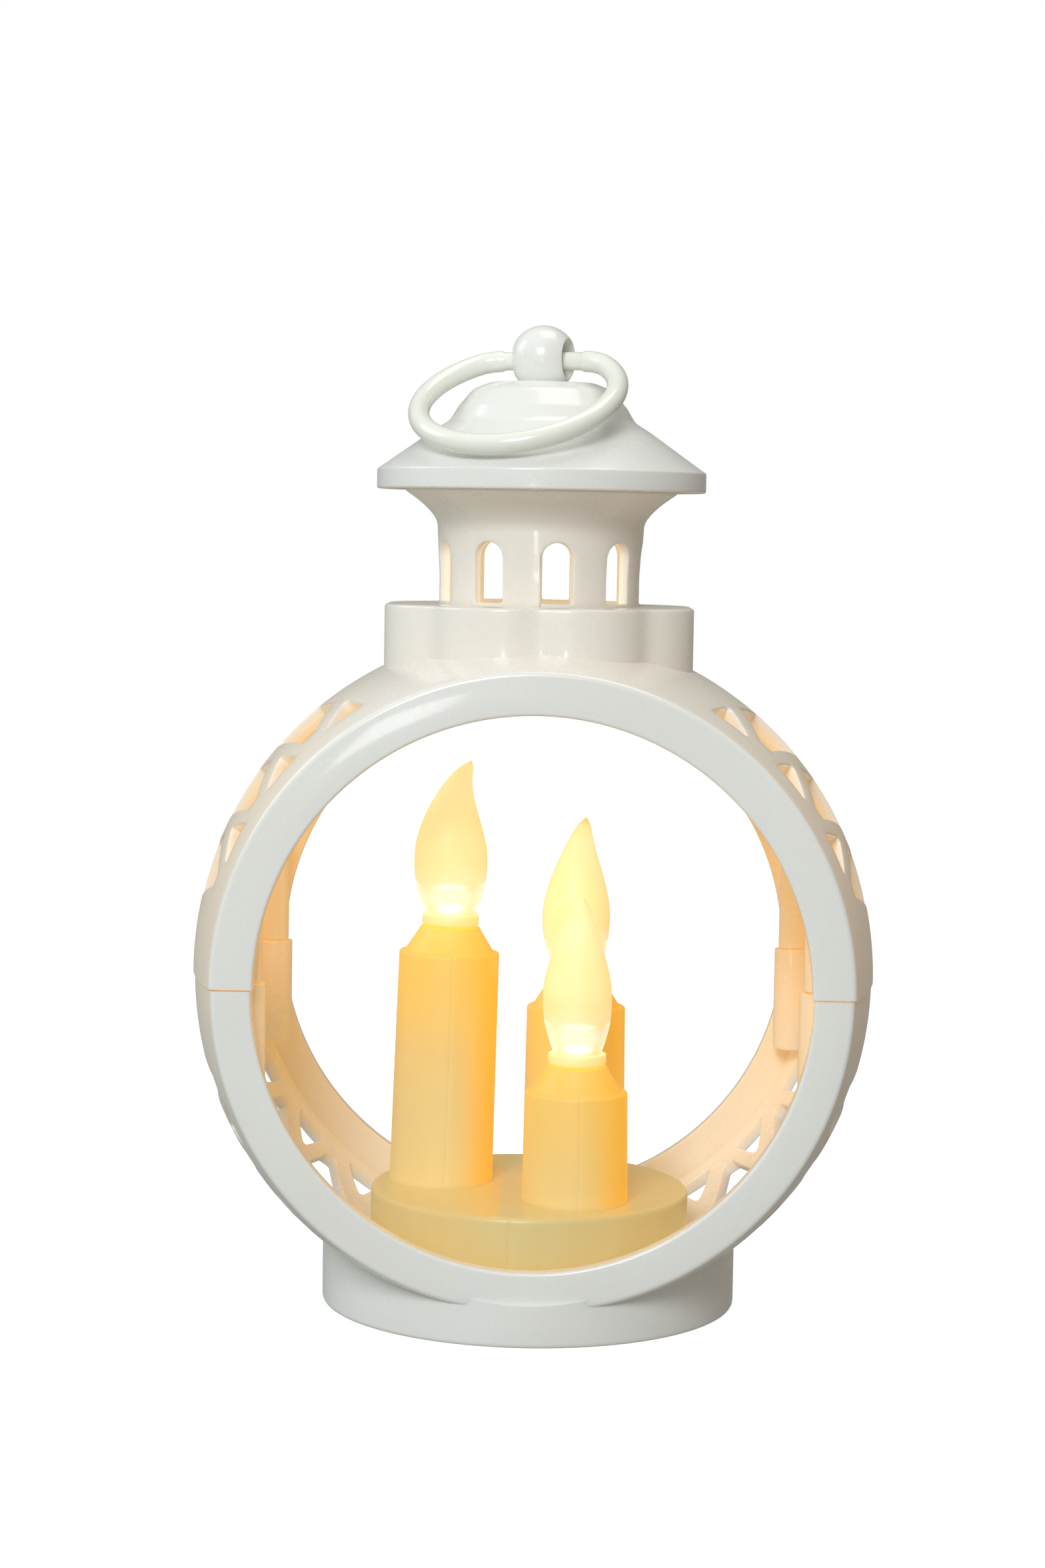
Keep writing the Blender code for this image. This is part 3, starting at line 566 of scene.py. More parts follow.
class ShapeTree:
    """A geometry node tree with named inputs, run once to give a plain mesh."""

    def __init__(self, name: str, inputs: dict[str, tuple[str, object]]) -> None:
        """Make the tree and its sockets.

        Args:
            name: The tree's name.
            inputs: Each input's socket type and value.
        """
        self.tree = bpy.data.node_groups.new(name, "GeometryNodeTree")
        self.tree.interface.new_socket("Geometry", in_out="INPUT", socket_type="NodeSocketGeometry")
        self.tree.interface.new_socket("Geometry", in_out="OUTPUT", socket_type="NodeSocketGeometry")
        self.values = {}
        for label, (kind, value) in inputs.items():
            socket = self.tree.interface.new_socket(label, in_out="INPUT", socket_type=kind)
            self.values[socket.identifier] = value
        self.start = self.tree.nodes.new("NodeGroupInput")
        self.end = self.tree.nodes.new("NodeGroupOutput")

    def node(self, kind: str, settings: dict[str, object] | None = None, **links: object) -> bpy.types.Node:
        """Add one node.

        Args:
            kind: Its type.
            settings: Its properties, set before its sockets are used.
            links: A value or an output socket for each input, spaces in its name written as underscores.

        Returns:
            The node.
        """
        made = self.tree.nodes.new(kind)
        for label, value in (settings or {}).items():
            setattr(made, label, value)
        for label, value in links.items():
            wanted = label.replace("_", " ")
            socket = next(item for item in made.inputs if item.name == wanted and item.enabled)
            if isinstance(value, bpy.types.NodeSocket):
                self.tree.links.new(value, socket)
            else:
                socket.default_value = value
        return made

    def closed_with(self, shape: bpy.types.NodeSocket, material: bpy.types.NodeSocket) -> None:
        """End the tree in Realize Instances and Set Material."""
        whole = self.node("GeometryNodeRealizeInstances", Geometry=shape)
        painted = self.node("GeometryNodeSetMaterial", Geometry=whole.outputs[0], Material=material)
        self.tree.links.new(painted.outputs[0], self.end.inputs[0])

    def run(self, name: str, mesh: bpy.types.Mesh) -> Piece:
        """Evaluate the tree on a mesh and return the result as a plain mesh object."""
        carrier = linked(name + "_route", mesh)
        grow = carrier.modifiers.new("grow", "NODES")
        grow.node_group = self.tree
        for identifier, value in self.values.items():
            grow[identifier] = value
        graph = bpy.context.evaluated_depsgraph_get()
        graph.update()
        result = bpy.data.meshes.new_from_object(carrier.evaluated_get(graph))
        carrier.modifiers.remove(grow)
        bpy.data.objects.remove(carrier)
        result.name = name
        made = linked(name, result)
        polish(made)
        return made


def route(points: Sequence[Vector], radii: Sequence[float], cyclic: bool) -> bpy.types.Mesh:
    """A mesh of one line, with the rod's radius kept at each point.

    Args:
        points: The places along the line.
        radii: The rod's radius at each.
        cyclic: Whether the line closes.

    Returns:
        The mesh.
    """
    mesh = bpy.data.meshes.new("route")
    edges = [(step, step + 1) for step in range(len(points) - 1)]
    if cyclic:
        edges.append((len(points) - 1, 0))
    mesh.from_pydata([tuple(point) for point in points], edges, [])
    thickness = mesh.attributes.new("thickness", "FLOAT", "POINT")
    thickness.data.foreach_set("value", list(radii))
    return mesh


def rod(
    name: str,
    points: Sequence[Vector],
    radii: Sequence[float],
    material: Material,
    sides: int = 16,
    cyclic: bool = False,
) -> Piece:
    """A round rod along a line, made by a node tree.

    Args:
        name: The object's name.
        points: The line.
        radii: The rod's radius at each point.
        material: Its finish.
        sides: How many sides its section has.
        cyclic: Whether it closes on itself.

    Returns:
        The object.
    """
    tree = ShapeTree(
        "rod_along_a_line",
        {"Sides": ("NodeSocketInt", sides), "Finish": ("NodeSocketMaterial", material)},
    )
    line = tree.node("GeometryNodeMeshToCurve", Mesh=tree.start.outputs["Geometry"])
    wide = tree.node("GeometryNodeInputNamedAttribute", {"data_type": "FLOAT"}, Name="thickness")
    swelling = tree.node("GeometryNodeSetCurveRadius", Curve=line.outputs[0], Radius=wide.outputs[0])
    around = tree.start.outputs["Sides"]
    section = tree.node("GeometryNodeCurvePrimitiveCircle", Resolution=around, Radius=1.0)
    body = tree.node(
        "GeometryNodeCurveToMesh",
        Curve=swelling.outputs[0],
        Profile_Curve=section.outputs[0],
        Fill_Caps=not cyclic,
    )
    scale = body.inputs.get("Scale")
    if scale is not None:
        tree.tree.links.new(wide.outputs[0], scale)
    tree.closed_with(body.outputs[0], tree.start.outputs["Finish"])
    return tree.run(name, route(points, radii, cyclic))


def coil(
    name: str, start: Vector, way: Vector, wide: Flat, length: float, rounds: float, wire: float,
    material: Material,
) -> Piece:
    """A cone-shaped contact spring, made by a node tree.

    Args:
        name: The object's name.
        start: The middle of its wide end.
        way: The direction that it points in.
        wide: Its radius at the wide end and at the narrow end.
        length: How tall it is.
        rounds: How many turns it has.
        wire: The radius of its wire.
        material: Its finish.

    Returns:
        The object.
    """
    tree = ShapeTree(
        "contact_spring",
        {
            "Rounds": ("NodeSocketFloat", rounds),
            "Wide Radius": ("NodeSocketFloat", wide[0]),
            "Narrow Radius": ("NodeSocketFloat", wide[1]),
            "Length": ("NodeSocketFloat", length),
            "Wire Radius": ("NodeSocketFloat", wire),
            "Finish": ("NodeSocketMaterial", material),
        },
    )
    given = tree.start.outputs
    spiral = tree.node(
        "GeometryNodeCurveSpiral",
        Resolution=32,
        Rotations=given["Rounds"],
        Start_Radius=given["Wide Radius"],
        End_Radius=given["Narrow Radius"],
        Height=given["Length"],
    )
    section = tree.node("GeometryNodeCurvePrimitiveCircle", Resolution=10, Radius=given["Wire Radius"])
    body = tree.node(
        "GeometryNodeCurveToMesh", Curve=spiral.outputs[0], Profile_Curve=section.outputs[0], Fill_Caps=True
    )
    turn = way.to_track_quat("Z", "Y").to_euler()
    placed = tree.node("GeometryNodeTransform", Geometry=body.outputs[0], Translation=start, Rotation=turn)
    tree.closed_with(placed.outputs[0], given["Finish"])
    return tree.run(name, bpy.data.meshes.new("route"))


def screw_pattern(radius: float, head: float, shank: float, length: float) -> Piece:
    """One pan-head screw with a cross recess, its head down and its shank up.

    Args:
        radius: The head's radius.
        head: The head's height.
        shank: The shank's radius.
        length: The whole length.

    Returns:
        The object that the node tree copies.
    """
    shell = Shell()
    arm, half = radius * 0.55, radius * 0.13
    cross = [
        (half, half), (arm, half), (arm, -half), (half, -half), (half, -arm), (-half, -arm),
        (-half, -half), (-arm, -half), (-arm, half), (-half, half), (-half, arm), (half, arm),
    ]
    cross.reverse()
    count = 28
    face = circle(radius * 0.72, count)
    filling = filled(face, [cross], radius)
    top = shell.loop(Vector((u, v, 0.0)) for u, v in filling.points)
    shell.faces += [tuple(top[index] for index in piece) for piece in filling.triangles]
    mouth = [top[index] for index in filling.holes[0]]
    floor = shell.loop(Vector((u * 0.8, v * 0.8, head * 0.5)) for u, v in cross)
    shell.bridge(mouth, floor)
    shell.cap(floor)
    rows = [[top[index] for index in filling.rim]]
    profile = [(radius * 0.92, head * 0.18), (radius, head * 0.5), (radius, head * 0.9)]
    profile += [(radius * 0.95, head), (shank, head)]
    thread, height, out = 0.00045, head + 0.0004, False
    while height < length - shank:
        profile.append((shank * (1.0 if out else 0.8), height))
        height, out = height + thread / 2, not out
    profile += [(shank * 0.25, length)]
    rows += [shell.loop(Vector((far * u, far * v, z)) for u, v in circle(1.0, count)) for far, z in profile]
    shell.joined(rows)
    shell.cap(rows[-1])
    return shell.closed("screw_pattern")


def screws(
    name: str,
    places: Sequence[Vector],
    pattern: Piece,
    material: Material,
    down: bool = False,
) -> Piece:
    """A group of like screws, each turned its own way, made by a node tree.

    Args:
        name: The object's name.
        places: The middle of each head's face.
        pattern: The screw to copy.
        material: Its finish.
        down: Whether the shanks point down.

    Returns:
        The object.
    """
    tree = ShapeTree(
        "screws_on_points",
        {
            "Screw": ("NodeSocketObject", pattern),
            "Tilt": ("NodeSocketFloat", math.pi if down else 0.0),
            "Seed": ("NodeSocketInt", 7),
            "Finish": ("NodeSocketMaterial", material),
        },
    )
    given = tree.start.outputs
    copied = tree.node("GeometryNodeObjectInfo", {"transform_space": "ORIGINAL"}, Object=given["Screw"])
    spin = tree.node(
        "FunctionNodeRandomValue", {"data_type": "FLOAT"}, Min=0.0, Max=math.pi / 2, Seed=given["Seed"]
    )
    turn = tree.node("ShaderNodeCombineXYZ", X=given["Tilt"], Z=next(o for o in spin.outputs if o.enabled))
    spots = tree.node("GeometryNodeMeshToPoints", Mesh=given["Geometry"])
    placed = tree.node(
        "GeometryNodeInstanceOnPoints",
        Points=spots.outputs[0],
        Instance=next(item for item in copied.outputs if item.name == "Geometry"),
        Rotation=turn.outputs[0],
    )
    tree.closed_with(placed.outputs[0], given["Finish"])
    mesh = bpy.data.meshes.new("places")
    mesh.from_pydata([tuple(place) for place in places], [], [])
    return tree.run(name, mesh)


# ---------------------------------------------------------------- finishes


class Wire:
    """A shader socket that takes part in Python expressions."""

    def __init__(self, paint: "Paint", socket: bpy.types.NodeSocket) -> None:
        """Wrap an output socket of a material's tree."""
        self.paint = paint
        self.socket = socket

    def maths(self, operation: str, first: "Wire | float", second: "Wire | float") -> "Wire":
        """Add one Math node."""
        return self.paint.node("ShaderNodeMath", {"operation": operation}, {0: first, 1: second})

    def __add__(self, other: "Wire | float") -> "Wire":
        """Sum."""
        return self.maths("ADD", self, other)

    __radd__ = __add__

    def __sub__(self, other: "Wire | float") -> "Wire":
        """Difference."""
        return self.maths("SUBTRACT", self, other)

    def __rsub__(self, other: float) -> "Wire":
        """Difference from a number."""
        return self.maths("SUBTRACT", other, self)

    def __mul__(self, other: "Wire | float") -> "Wire":
        """Product."""
        return self.maths("MULTIPLY", self, other)

    __rmul__ = __mul__

    def __truediv__(self, other: "Wire | float") -> "Wire":
        """Quotient."""
        return self.maths("DIVIDE", self, other)

    def __pow__(self, other: float) -> "Wire":
        """Power."""
        return self.maths("POWER", self, other)

    def __abs__(self) -> "Wire":
        """Size without its sign."""
        return self.paint.node("ShaderNodeMath", {"operation": "ABSOLUTE"}, {0: self})

    def above(self, edge: float, soft: float) -> "Wire":
        """A mask that rises from 0 to 1 around an edge."""
        return self.paint.node(
            "ShaderNodeMapRange",
            {"interpolation_type": "SMOOTHSTEP"},
            {"Value": self, "From Min": edge - soft, "From Max": edge + soft, "To Min": 0.0, "To Max": 1.0},
        )


class Paint:
    """One material's node tree, with its shader and its Object coordinates."""

    def __init__(self, name: str) -> None:
        """Make the material."""
        self.material = bpy.data.materials.new(name)
        self.material.use_nodes = True
        self.tree = self.material.node_tree
        self.shader = self.tree.nodes["Principled BSDF"]
        self.place = self.node("ShaderNodeTexCoord", output="Object")

    def node(
        self,
        kind: str,
        settings: dict[str, object] | None = None,
        inputs: dict[str | int, object] | None = None,
        output: str | int = 0,
    ) -> Wire:
        """Add one node.

        Args:
            kind: Its type.
            settings: Its properties, with a ramp's stops as (place, colour) pairs, set first.
            inputs: A value or a wire for each input, by name or number.
            output: The output to use.

        Returns:
            That output.
        """
        made = self.tree.nodes.new(kind)
        for label, value in (settings or {}).items():
            if label == "stops":
                elements = made.color_ramp.elements
                elements.remove(elements[1])
                elements[0].position = value[0][0]
                elements[0].color = (*value[0][1], 1.0)
                for spot, colour in value[1:]:
                    elements.new(spot).color = (*colour, 1.0)
            else:
                setattr(made, label, value)
        for label, value in (inputs or {}).items():
            self.feed(made.inputs[label], value)
        return Wire(self, made.outputs[output])

    def feed(self, socket: bpy.types.NodeSocket, value: object) -> None:
        """Give a socket a wire or a value."""
        if isinstance(value, Wire):
            self.tree.links.new(value.socket, socket)
        elif isinstance(value, tuple) and len(value) == 3 and socket.type == "RGBA":
            socket.default_value = (*value, 1.0)
        else:
            socket.default_value = value

    def set(self, **values: object) -> None:
        """Set the shader's own sockets, with spaces in their names written as underscores."""
        for label, value in values.items():
            self.feed(self.shader.inputs[label.replace("_", " ")], value)

    def noise(self, size: float, detail: float, rough: float) -> Wire:
        """A cloudy pattern whose features are about this many metres across."""
        return self.node(
            "ShaderNodeTexNoise",
            None,
            {"Vector": self.place, "Scale": 1.0 / size, "Detail": detail, "Roughness": rough},
        )

    def streaks(self, scale: Triple, detail: float) -> Wire:
        """A cloudy pattern drawn out by axis, from its features per metre along X, Y and Z."""
        place = self.node("ShaderNodeMapping", None, {"Vector": self.place, "Scale": scale})
        return self.node("ShaderNodeTexNoise", None, {"Vector": place, "Scale": 1.0, "Detail": detail})

    def length(self, vector: Wire) -> Wire:
        """How long a vector is."""
        return self.node("ShaderNodeVectorMath", {"operation": "LENGTH"}, {0: vector}, "Value")

    def along(self, operation: str, vector: Triple, place: Wire | None = None) -> Wire:
        """Object coordinates, or another place, after one Vector Math step with a fixed vector."""
        start = place or self.place
        return self.node("ShaderNodeVectorMath", {"operation": operation}, {0: start, 1: vector})

    def cells(self, size: float, place: Wire | None = None) -> Wire:
        """Distance to scattered points about this far apart, as a share of that spacing."""
        return self.node(
            "ShaderNodeTexVoronoi",
            {"feature": "F1"},
            {"Vector": place or self.place, "Scale": 1.0 / size},
        )

    def mixed(self, share: Wire | float, first: Wire | Colour, second: Wire | Colour) -> Wire:
        """A blend of two colours."""
        made = self.tree.nodes.new("ShaderNodeMix")
        made.data_type = "RGBA"
        self.feed(made.inputs["Factor"], share)
        colours = [socket for socket in made.inputs if socket.type == "RGBA"]
        for socket, value in zip(colours, (first, second)):
            self.feed(socket, value)
        return Wire(self, next(socket for socket in made.outputs if socket.type == "RGBA"))

    def axis(self, letter: str, place: Wire | None = None) -> Wire:
        """One coordinate in metres."""
        return self.node("ShaderNodeSeparateXYZ", None, {0: place or self.place}, letter)

    def moved(self, origin: Triple, scale: Triple = (1.0, 1.0, 1.0)) -> Wire:
        """Object coordinates measured from another origin, in other steps along each axis."""
        return self.node(
            "ShaderNodeMapping",
            {"vector_type": "TEXTURE"},
            {"Vector": self.place, "Location": origin, "Scale": scale},
        )

    def bump(self, height: Wire, deep: float) -> None:
        """Feed the shader's normal from a height in shares of this depth in metres."""
        bumped = self.node("ShaderNodeBump", None, {"Strength": 1.0, "Distance": deep, "Height": height})
        self.set(Normal=bumped)


BODY_RADIUS = 0.0600
CROWN_CURVE = 4.655
UNLIT: Colour = (0.0, 0.0, 0.0)
# Painted candle light: warm tints for painted shade and glows for painted light on the white walls.
UPPER_PAINTED_WARM_SHADE: Colour = (0.84, 0.755, 0.65)
SIDE_PAINTED_WARM_SHADE: Colour = (0.84, 0.740, 0.60)
INNER_PAINTED_WARM_SHADE: Colour = (0.62, 0.50, 0.33)
UPPER_PAINTED_GLOW: Colour = (0.045, 0.030, 0.015)
SIDE_PAINTED_GLOW: Colour = (0.115, 0.066, 0.022)
SHAFT_PAINTED_GLOW: Colour = (0.30, 0.215, 0.115)
INNER_PAINTED_GLOW: tuple[Colour, Colour] = ((0.37, 0.200, 0.058), (0.31, 0.175, 0.055))


@dataclass(frozen=True)
class MouldedPlastic:
    """Moulded white or ivory plastic: faint flow clouds, a fine skin, rubbed spots, scratches and dust, and
    where lit, painted candle light and warm shade on its walls.
    """

    name: str
    colour: Colour
    cloud: Colour
    shine: float
    dull: float
    skin: float = 0.0000008
    # lit: whether painted candle light and warm shade go into its colour and its emission.
    lit: bool = False
    scatter: float = 0.12

    def candle_light(self, paint: Paint) -> tuple[Wire, Wire, Wire, Wire]:
        """Where candle light and warm shade are painted on the walls.

        Args:
            paint: The material's tree.

        Returns:
            Masks for the painted candle light inside the body and up the chimney's shaft, and for the painted
            warm light and shade on the upper and the side walls.
        """
        flat = paint.along("SUBTRACT", (0.0, 0.0, BODY_RADIUS), paint.along("MULTIPLY", (1.0, 0.0, 1.0)))
        far = paint.length(flat)
        along, height = paint.axis("Y"), paint.axis("Z")
        across = along * along
        depth = BODY_RADIUS - across * CROWN_CURVE - far
        out = paint.length(paint.along("MULTIPLY", (1.0, 1.0, 0.0)))
        low = 1 - height.above(0.1165, 0.0030)
        # Painted candle light on the inside of the body.
        inner = depth.above(0.0010, 0.0009) * (1 - across.above(0.00118, 0.00008))
        inner = inner * (height.above(0.045, 0.045) * 0.65 + 0.35) * low
        # Painted candle light up the inside of the chimney.
        shaft = (1 - out.above(0.0171, 0.0008)) * height.above(0.118, 0.004)
        shaft = shaft * (1 - height.above(0.1500, 0.004))
        # Painted warm light and shade on the upper body and the collar.
        upper_painted_light = height.above(0.085, 0.030) * (1 - height.above(0.1452, 0.0004))
        upper_painted_light = upper_painted_light * (1 - across.above(0.00124, 0.00004) * low)
        # Painted warm light and shade on the side walls.
        thin = abs(paint.axis("X")).above(0.038, 0.014) * height.above(0.045, 0.025)
        thin = thin * (1 - across.above(0.00122, 0.00005)) * low
        return inner, shaft, upper_painted_light, thin

    def material(self) -> Material:
        """The material of this finish."""
        paint = Paint(self.name)
        flow = paint.noise(0.034, 4.0, 0.5)
        fine = paint.noise(0.0016, 3.0, 0.6)
        specks = paint.cells(0.0042)
        dust = 1 - specks.above(0.045, 0.03)
        base = paint.mixed(flow.above(0.52, 0.22), self.colour, self.cloud)
        tone = tuple(value * 0.80 for value in self.cloud)
        base = paint.mixed(dust * 0.16, base, tone)
        if self.lit:
            inner, shaft, upper_painted_light, thin = self.candle_light(paint)
            # Painted shade and candle light: the walls by the candles are tinted darker and warmer.
            base = paint.mixed(upper_painted_light * 0.40, base, UPPER_PAINTED_WARM_SHADE)
            base = paint.mixed(thin * 0.60, base, SIDE_PAINTED_WARM_SHADE)
            base = paint.mixed(inner * 0.80, base, INNER_PAINTED_WARM_SHADE)
        rubbed = paint.noise(0.009, 5.0, 0.65)
        rough = (rubbed * (self.dull - self.shine) + self.shine) + fine * 0.05 - 0.02
        lines = paint.streaks((1500.0, 60.0, 240.0), 2.0).above(0.71, 0.02)
        paint.set(
            Base_Color=base,
            Roughness=rough + lines * 0.12,
            Specular_IOR_Level=0.45,
            Subsurface_Weight=self.scatter,
            Subsurface_Radius=(1.0, 0.72, 0.5),
            Subsurface_Scale=0.0012,
            Coat_Weight=0.35,
            Coat_Roughness=0.07,
        )
        if self.lit:
            # Painted candle light: a glow on the inner walls, up the chimney and on the upper and side walls.
            light = paint.mixed(upper_painted_light, UNLIT, UPPER_PAINTED_GLOW)
            light = paint.mixed(thin, light, SIDE_PAINTED_GLOW)
            light = paint.mixed(shaft, light, SHAFT_PAINTED_GLOW)
            light = paint.mixed(inner, light, paint.mixed(flow.above(0.5, 0.3), *INNER_PAINTED_GLOW))
            paint.set(Emission_Color=light, Emission_Strength=1.0)
        peel = paint.noise(0.0030, 1.0, 0.5)
        paint.bump(peel, self.skin)
        return paint.material


@dataclass(frozen=True)
class LitWax:
    """Translucent amber plastic with the lamps' light from inside painted in as a glow."""

    name: str
    heads: tuple[Triple, ...]

    def material(self) -> Material:
        """The material of this finish: its painted glow grows towards each candle's head."""
        paint = Paint(self.name)
        glow: Wire | None = None
        # Painted light: a glow near each candle's head.
        for x, y, z in self.heads:
            away = paint.length(paint.moved((x, y, z), (1.0, 1.0, 1.9)))
            near = 1 - (away / 0.021).above(0.5, 0.5)
            glow = near if glow is None else glow + near * 0.8
        cloud = paint.noise(0.011, 4.0, 0.55)
        streak = paint.streaks((260.0, 260.0, 34.0), 3.0)
        side = paint.axis("X")
        # Painted light: the side of each candle that faces the other flames.
        right: Wire | None = None
        for x, _, _ in self.heads:
            offset = side - x
            near = 1 - abs(offset).above(0.0100, 0.0006)
            mask = offset.above(0.0052, 0.0042) * near * paint.axis("Z").above(0.0208, 0.0010)
            right = mask if right is None else mask.maths("MAXIMUM", right, mask)
        body = paint.mixed(cloud.above(0.5, 0.35), (0.70, 0.57, 0.29), (0.68, 0.54, 0.26))
        body = paint.mixed(streak.above(0.56, 0.2) * 0.25, body, (0.74, 0.62, 0.36))
        # Painted light: deeper amber near the heads and on the sides that face the other flames.
        body = paint.mixed(glow.above(0.3, 0.4), body, (0.63, 0.43, 0.13))
        body = paint.mixed(right, body, (0.66, 0.37, 0.045))
        # Painted glow, brightest near the heads.
        light = paint.node(
            "ShaderNodeValToRGB",
            {
                "stops": [
                    (0.0, (0.23, 0.160, 0.050)),
                    (0.25, (0.29, 0.180, 0.046)),
                    (0.55, (0.43, 0.245, 0.032)),
                    (1.0, (0.72, 0.40, 0.050)),
                ]
            },
            {0: glow * (cloud * 0.10 + 0.95)},
        )
        # Painted glow, dimmer on the tray's wall below its top.
        light = paint.mixed(1 - paint.axis("Z").above(0.0207, 0.0008), light, (0.105, 0.088, 0.026))
        # Painted light on the sides that face the other flames.
        light = paint.mixed(right * 0.8, light, (0.52, 0.25, 0.012))
        fine = paint.noise(0.0012, 3.0, 0.6)
        paint.set(
            Base_Color=body,
            Roughness=cloud * 0.16 + fine * 0.08 + 0.26,
            Emission_Color=light,
            Emission_Strength=1.0,
            Subsurface_Weight=0.25,
            Subsurface_Radius=(1.0, 0.6, 0.25),
            Subsurface_Scale=0.002,
        )
        paint.bump(fine * 0.35 + streak * 0.65, 0.000010)
        return paint.material


@dataclass(frozen=True)
class LitFlame:
    """A frosted flame, lit from its foot, with hot spots of (height, width, thickness, share)."""

    name: str
    foot: Triple
    tall: float
    strength: float = 1.0
    hot_spots: tuple[tuple[float, ...], ...] = (
        (0.0034, 0.0028, 0.0012, 1.0), (0.0073, 0.0030, 0.0006, 0.7), (0.0048, 0.0040, 0.0032, 0.40),
    )

    def material(self) -> Material:
        """The material of this finish: white hot by the lamp, amber at the tip."""
        paint = Paint(self.name)
        place = paint.moved(self.foot)
        up = paint.axis("Z", place) / self.tall
        cloud = paint.noise(0.0055, 3.0, 0.5)
        level = up + (cloud - 0.5) * 0.14
        light = paint.node(
            "ShaderNodeValToRGB",
            {
                "stops": [
                    (0.0, (0.62, 0.36, 0.07)),
                    (0.10, (0.60, 0.44, 0.20)),
                    (0.20, (0.58, 0.48, 0.30)),
                    (0.36, (0.56, 0.43, 0.18)),
                    (0.62, (0.58, 0.46, 0.19)),
                    (0.84, (0.62, 0.53, 0.27)),
                    (0.95, (0.62, 0.52, 0.24)),
                    (1.0, (0.58, 0.38, 0.07)),
                ]
            },
            {0: level},
        )
        spots: Wire | None = None
        beside = up.maths("MINIMUM", abs(paint.axis("X", place)), abs(paint.axis("Y", place)))
        for height, wide, tall, bright in self.hot_spots:
            off = (paint.axis("Z", place) - height) / tall
            off = off * off + (beside / wide) ** 2.0
            spot = (1 - off.above(0.8, 0.8)) * bright
            spots = spot if spots is None else spot.maths("MAXIMUM", spots, spot)
        light = paint.mixed(spots, light, (1.0, 0.90, 0.80))
        fine = paint.noise(0.0009, 2.0, 0.5)
        paint.set(
            Base_Color=paint.mixed(cloud.above(0.5, 0.3), (0.78, 0.64, 0.36), (0.74, 0.57, 0.29)),
            Roughness=fine * 0.12 + 0.36,
            Emission_Color=light,
            Emission_Strength=self.strength,
            Specular_IOR_Level=0.25,
        )
        paint.bump(fine * 0.4 + cloud * 0.6, 0.00003)
        return paint.material


@dataclass(frozen=True)
class LampLens:
    """The clear warm epoxy of a small round lamp."""

    name: str

    def material(self) -> Material:
        """The material of this finish."""
        paint = Paint(self.name)
        swirl = paint.noise(0.0014, 2.0, 0.5)
        paint.set(
            Base_Color=paint.mixed(swirl, (1.0, 0.86, 0.46), (1.0, 0.93, 0.66)),
            Roughness=swirl * 0.06 + 0.07,
            Transmission_Weight=0.35,
            Emission_Color=paint.mixed(swirl, (1.0, 0.82, 0.44), (1.0, 0.92, 0.62)),
            Emission_Strength=5.0,
        )
        paint.bump(swirl, 0.00001)
        return paint.material


@dataclass(frozen=True)
class CableSkin:
    """The soft insulation of a thin wire."""

    name: str
    colour: Colour
    worn: Colour

    def material(self) -> Material:
        """The material of this finish."""
        paint = Paint(self.name)
        cloud = paint.noise(0.0012, 3.0, 0.6)
        scuff = paint.noise(0.0004, 2.0, 0.6).above(0.62, 0.06)
        paint.set(
            Base_Color=paint.mixed(cloud.above(0.5, 0.3), self.colour, self.worn),
            Roughness=cloud * 0.2 + scuff * 0.15 + 0.32,
        )
        paint.bump(scuff * -0.5 + cloud, 0.000012)
        return paint.material


@dataclass(frozen=True)
class DarkPlastic:
    """Black plastic with a fine spark texture, or a poured black blob."""

    name: str
    grain: float
    shine: float
    deep: float

    def material(self) -> Material:
        """The material of this finish."""
        paint = Paint(self.name)
        grain = paint.noise(self.grain, 4.0, 0.7)
        dust = paint.noise(0.003, 3.0, 0.6).above(0.6, 0.1)
        paint.set(
            Base_Color=paint.mixed(dust * 0.5 + grain * 0.2, (0.022, 0.022, 0.024), (0.062, 0.060, 0.057)),
            Roughness=grain * 0.22 + dust * 0.1 + self.shine,
        )
        paint.bump(grain, self.deep)
        return paint.material


@dataclass(frozen=True)
class CircuitBoard:
    """Green solder mask over copper tracks, with tinned pads."""

    name: str

    def material(self) -> Material:
        """The material of this finish."""
        paint = Paint(self.name)
        place = paint.node("ShaderNodeMapping", None, {"Vector": paint.place, "Rotation": (0.0, 0.0, 0.4)})
        track = paint.node(
            "ShaderNodeTexWave",
            {"wave_type": "RINGS", "rings_direction": "Z"},
            {"Vector": place, "Scale": 150.0, "Distortion": 3.4, "Detail": 1.0, "Detail Scale": 0.3},
        )
        copper = track.above(0.66, 0.05)
        pads = 1 - paint.cells(0.0052, place=place).above(0.13, 0.015)
        weave = paint.noise(0.0006, 2.0, 0.5)
        green = paint.mixed(copper, (0.020, 0.145, 0.055), (0.055, 0.270, 0.095))
        green = paint.mixed(weave * 0.3, green, (0.015, 0.095, 0.035))
        paint.set(
            Base_Color=paint.mixed(pads, green, (0.72, 0.71, 0.67)),
            Metallic=pads,
            Roughness=pads * 0.06 + weave * 0.10 + 0.24,
        )
        paint.bump(copper * 0.6 + pads + weave * 0.15, 0.00003)
        return paint.material


@dataclass(frozen=True)
class BandedLacquer:
    """Tan lacquer with colour bands across X."""

    name: str
    middle: float

    def material(self) -> Material:
        """The material of this finish."""
        paint = Paint(self.name)
        along = paint.axis("X") - self.middle
        cloud = paint.noise(0.0009, 3.0, 0.5)
        base = paint.mixed(cloud, (0.60, 0.42, 0.22), (0.70, 0.52, 0.30))
        bands = [(-0.0019, (0.23, 0.09, 0.03)), (-0.0009, (0.02, 0.02, 0.02)), (0.0001, (0.50, 0.04, 0.03))]
        bands += [(0.0017, (0.62, 0.44, 0.12))]
        for spot, colour in bands:
            base = paint.mixed(1 - abs(along - spot).above(0.00025, 0.00003), base, colour)
        paint.set(Base_Color=base, Roughness=cloud * 0.15 + 0.3)
        paint.bump(cloud, 0.00002)
        return paint.material


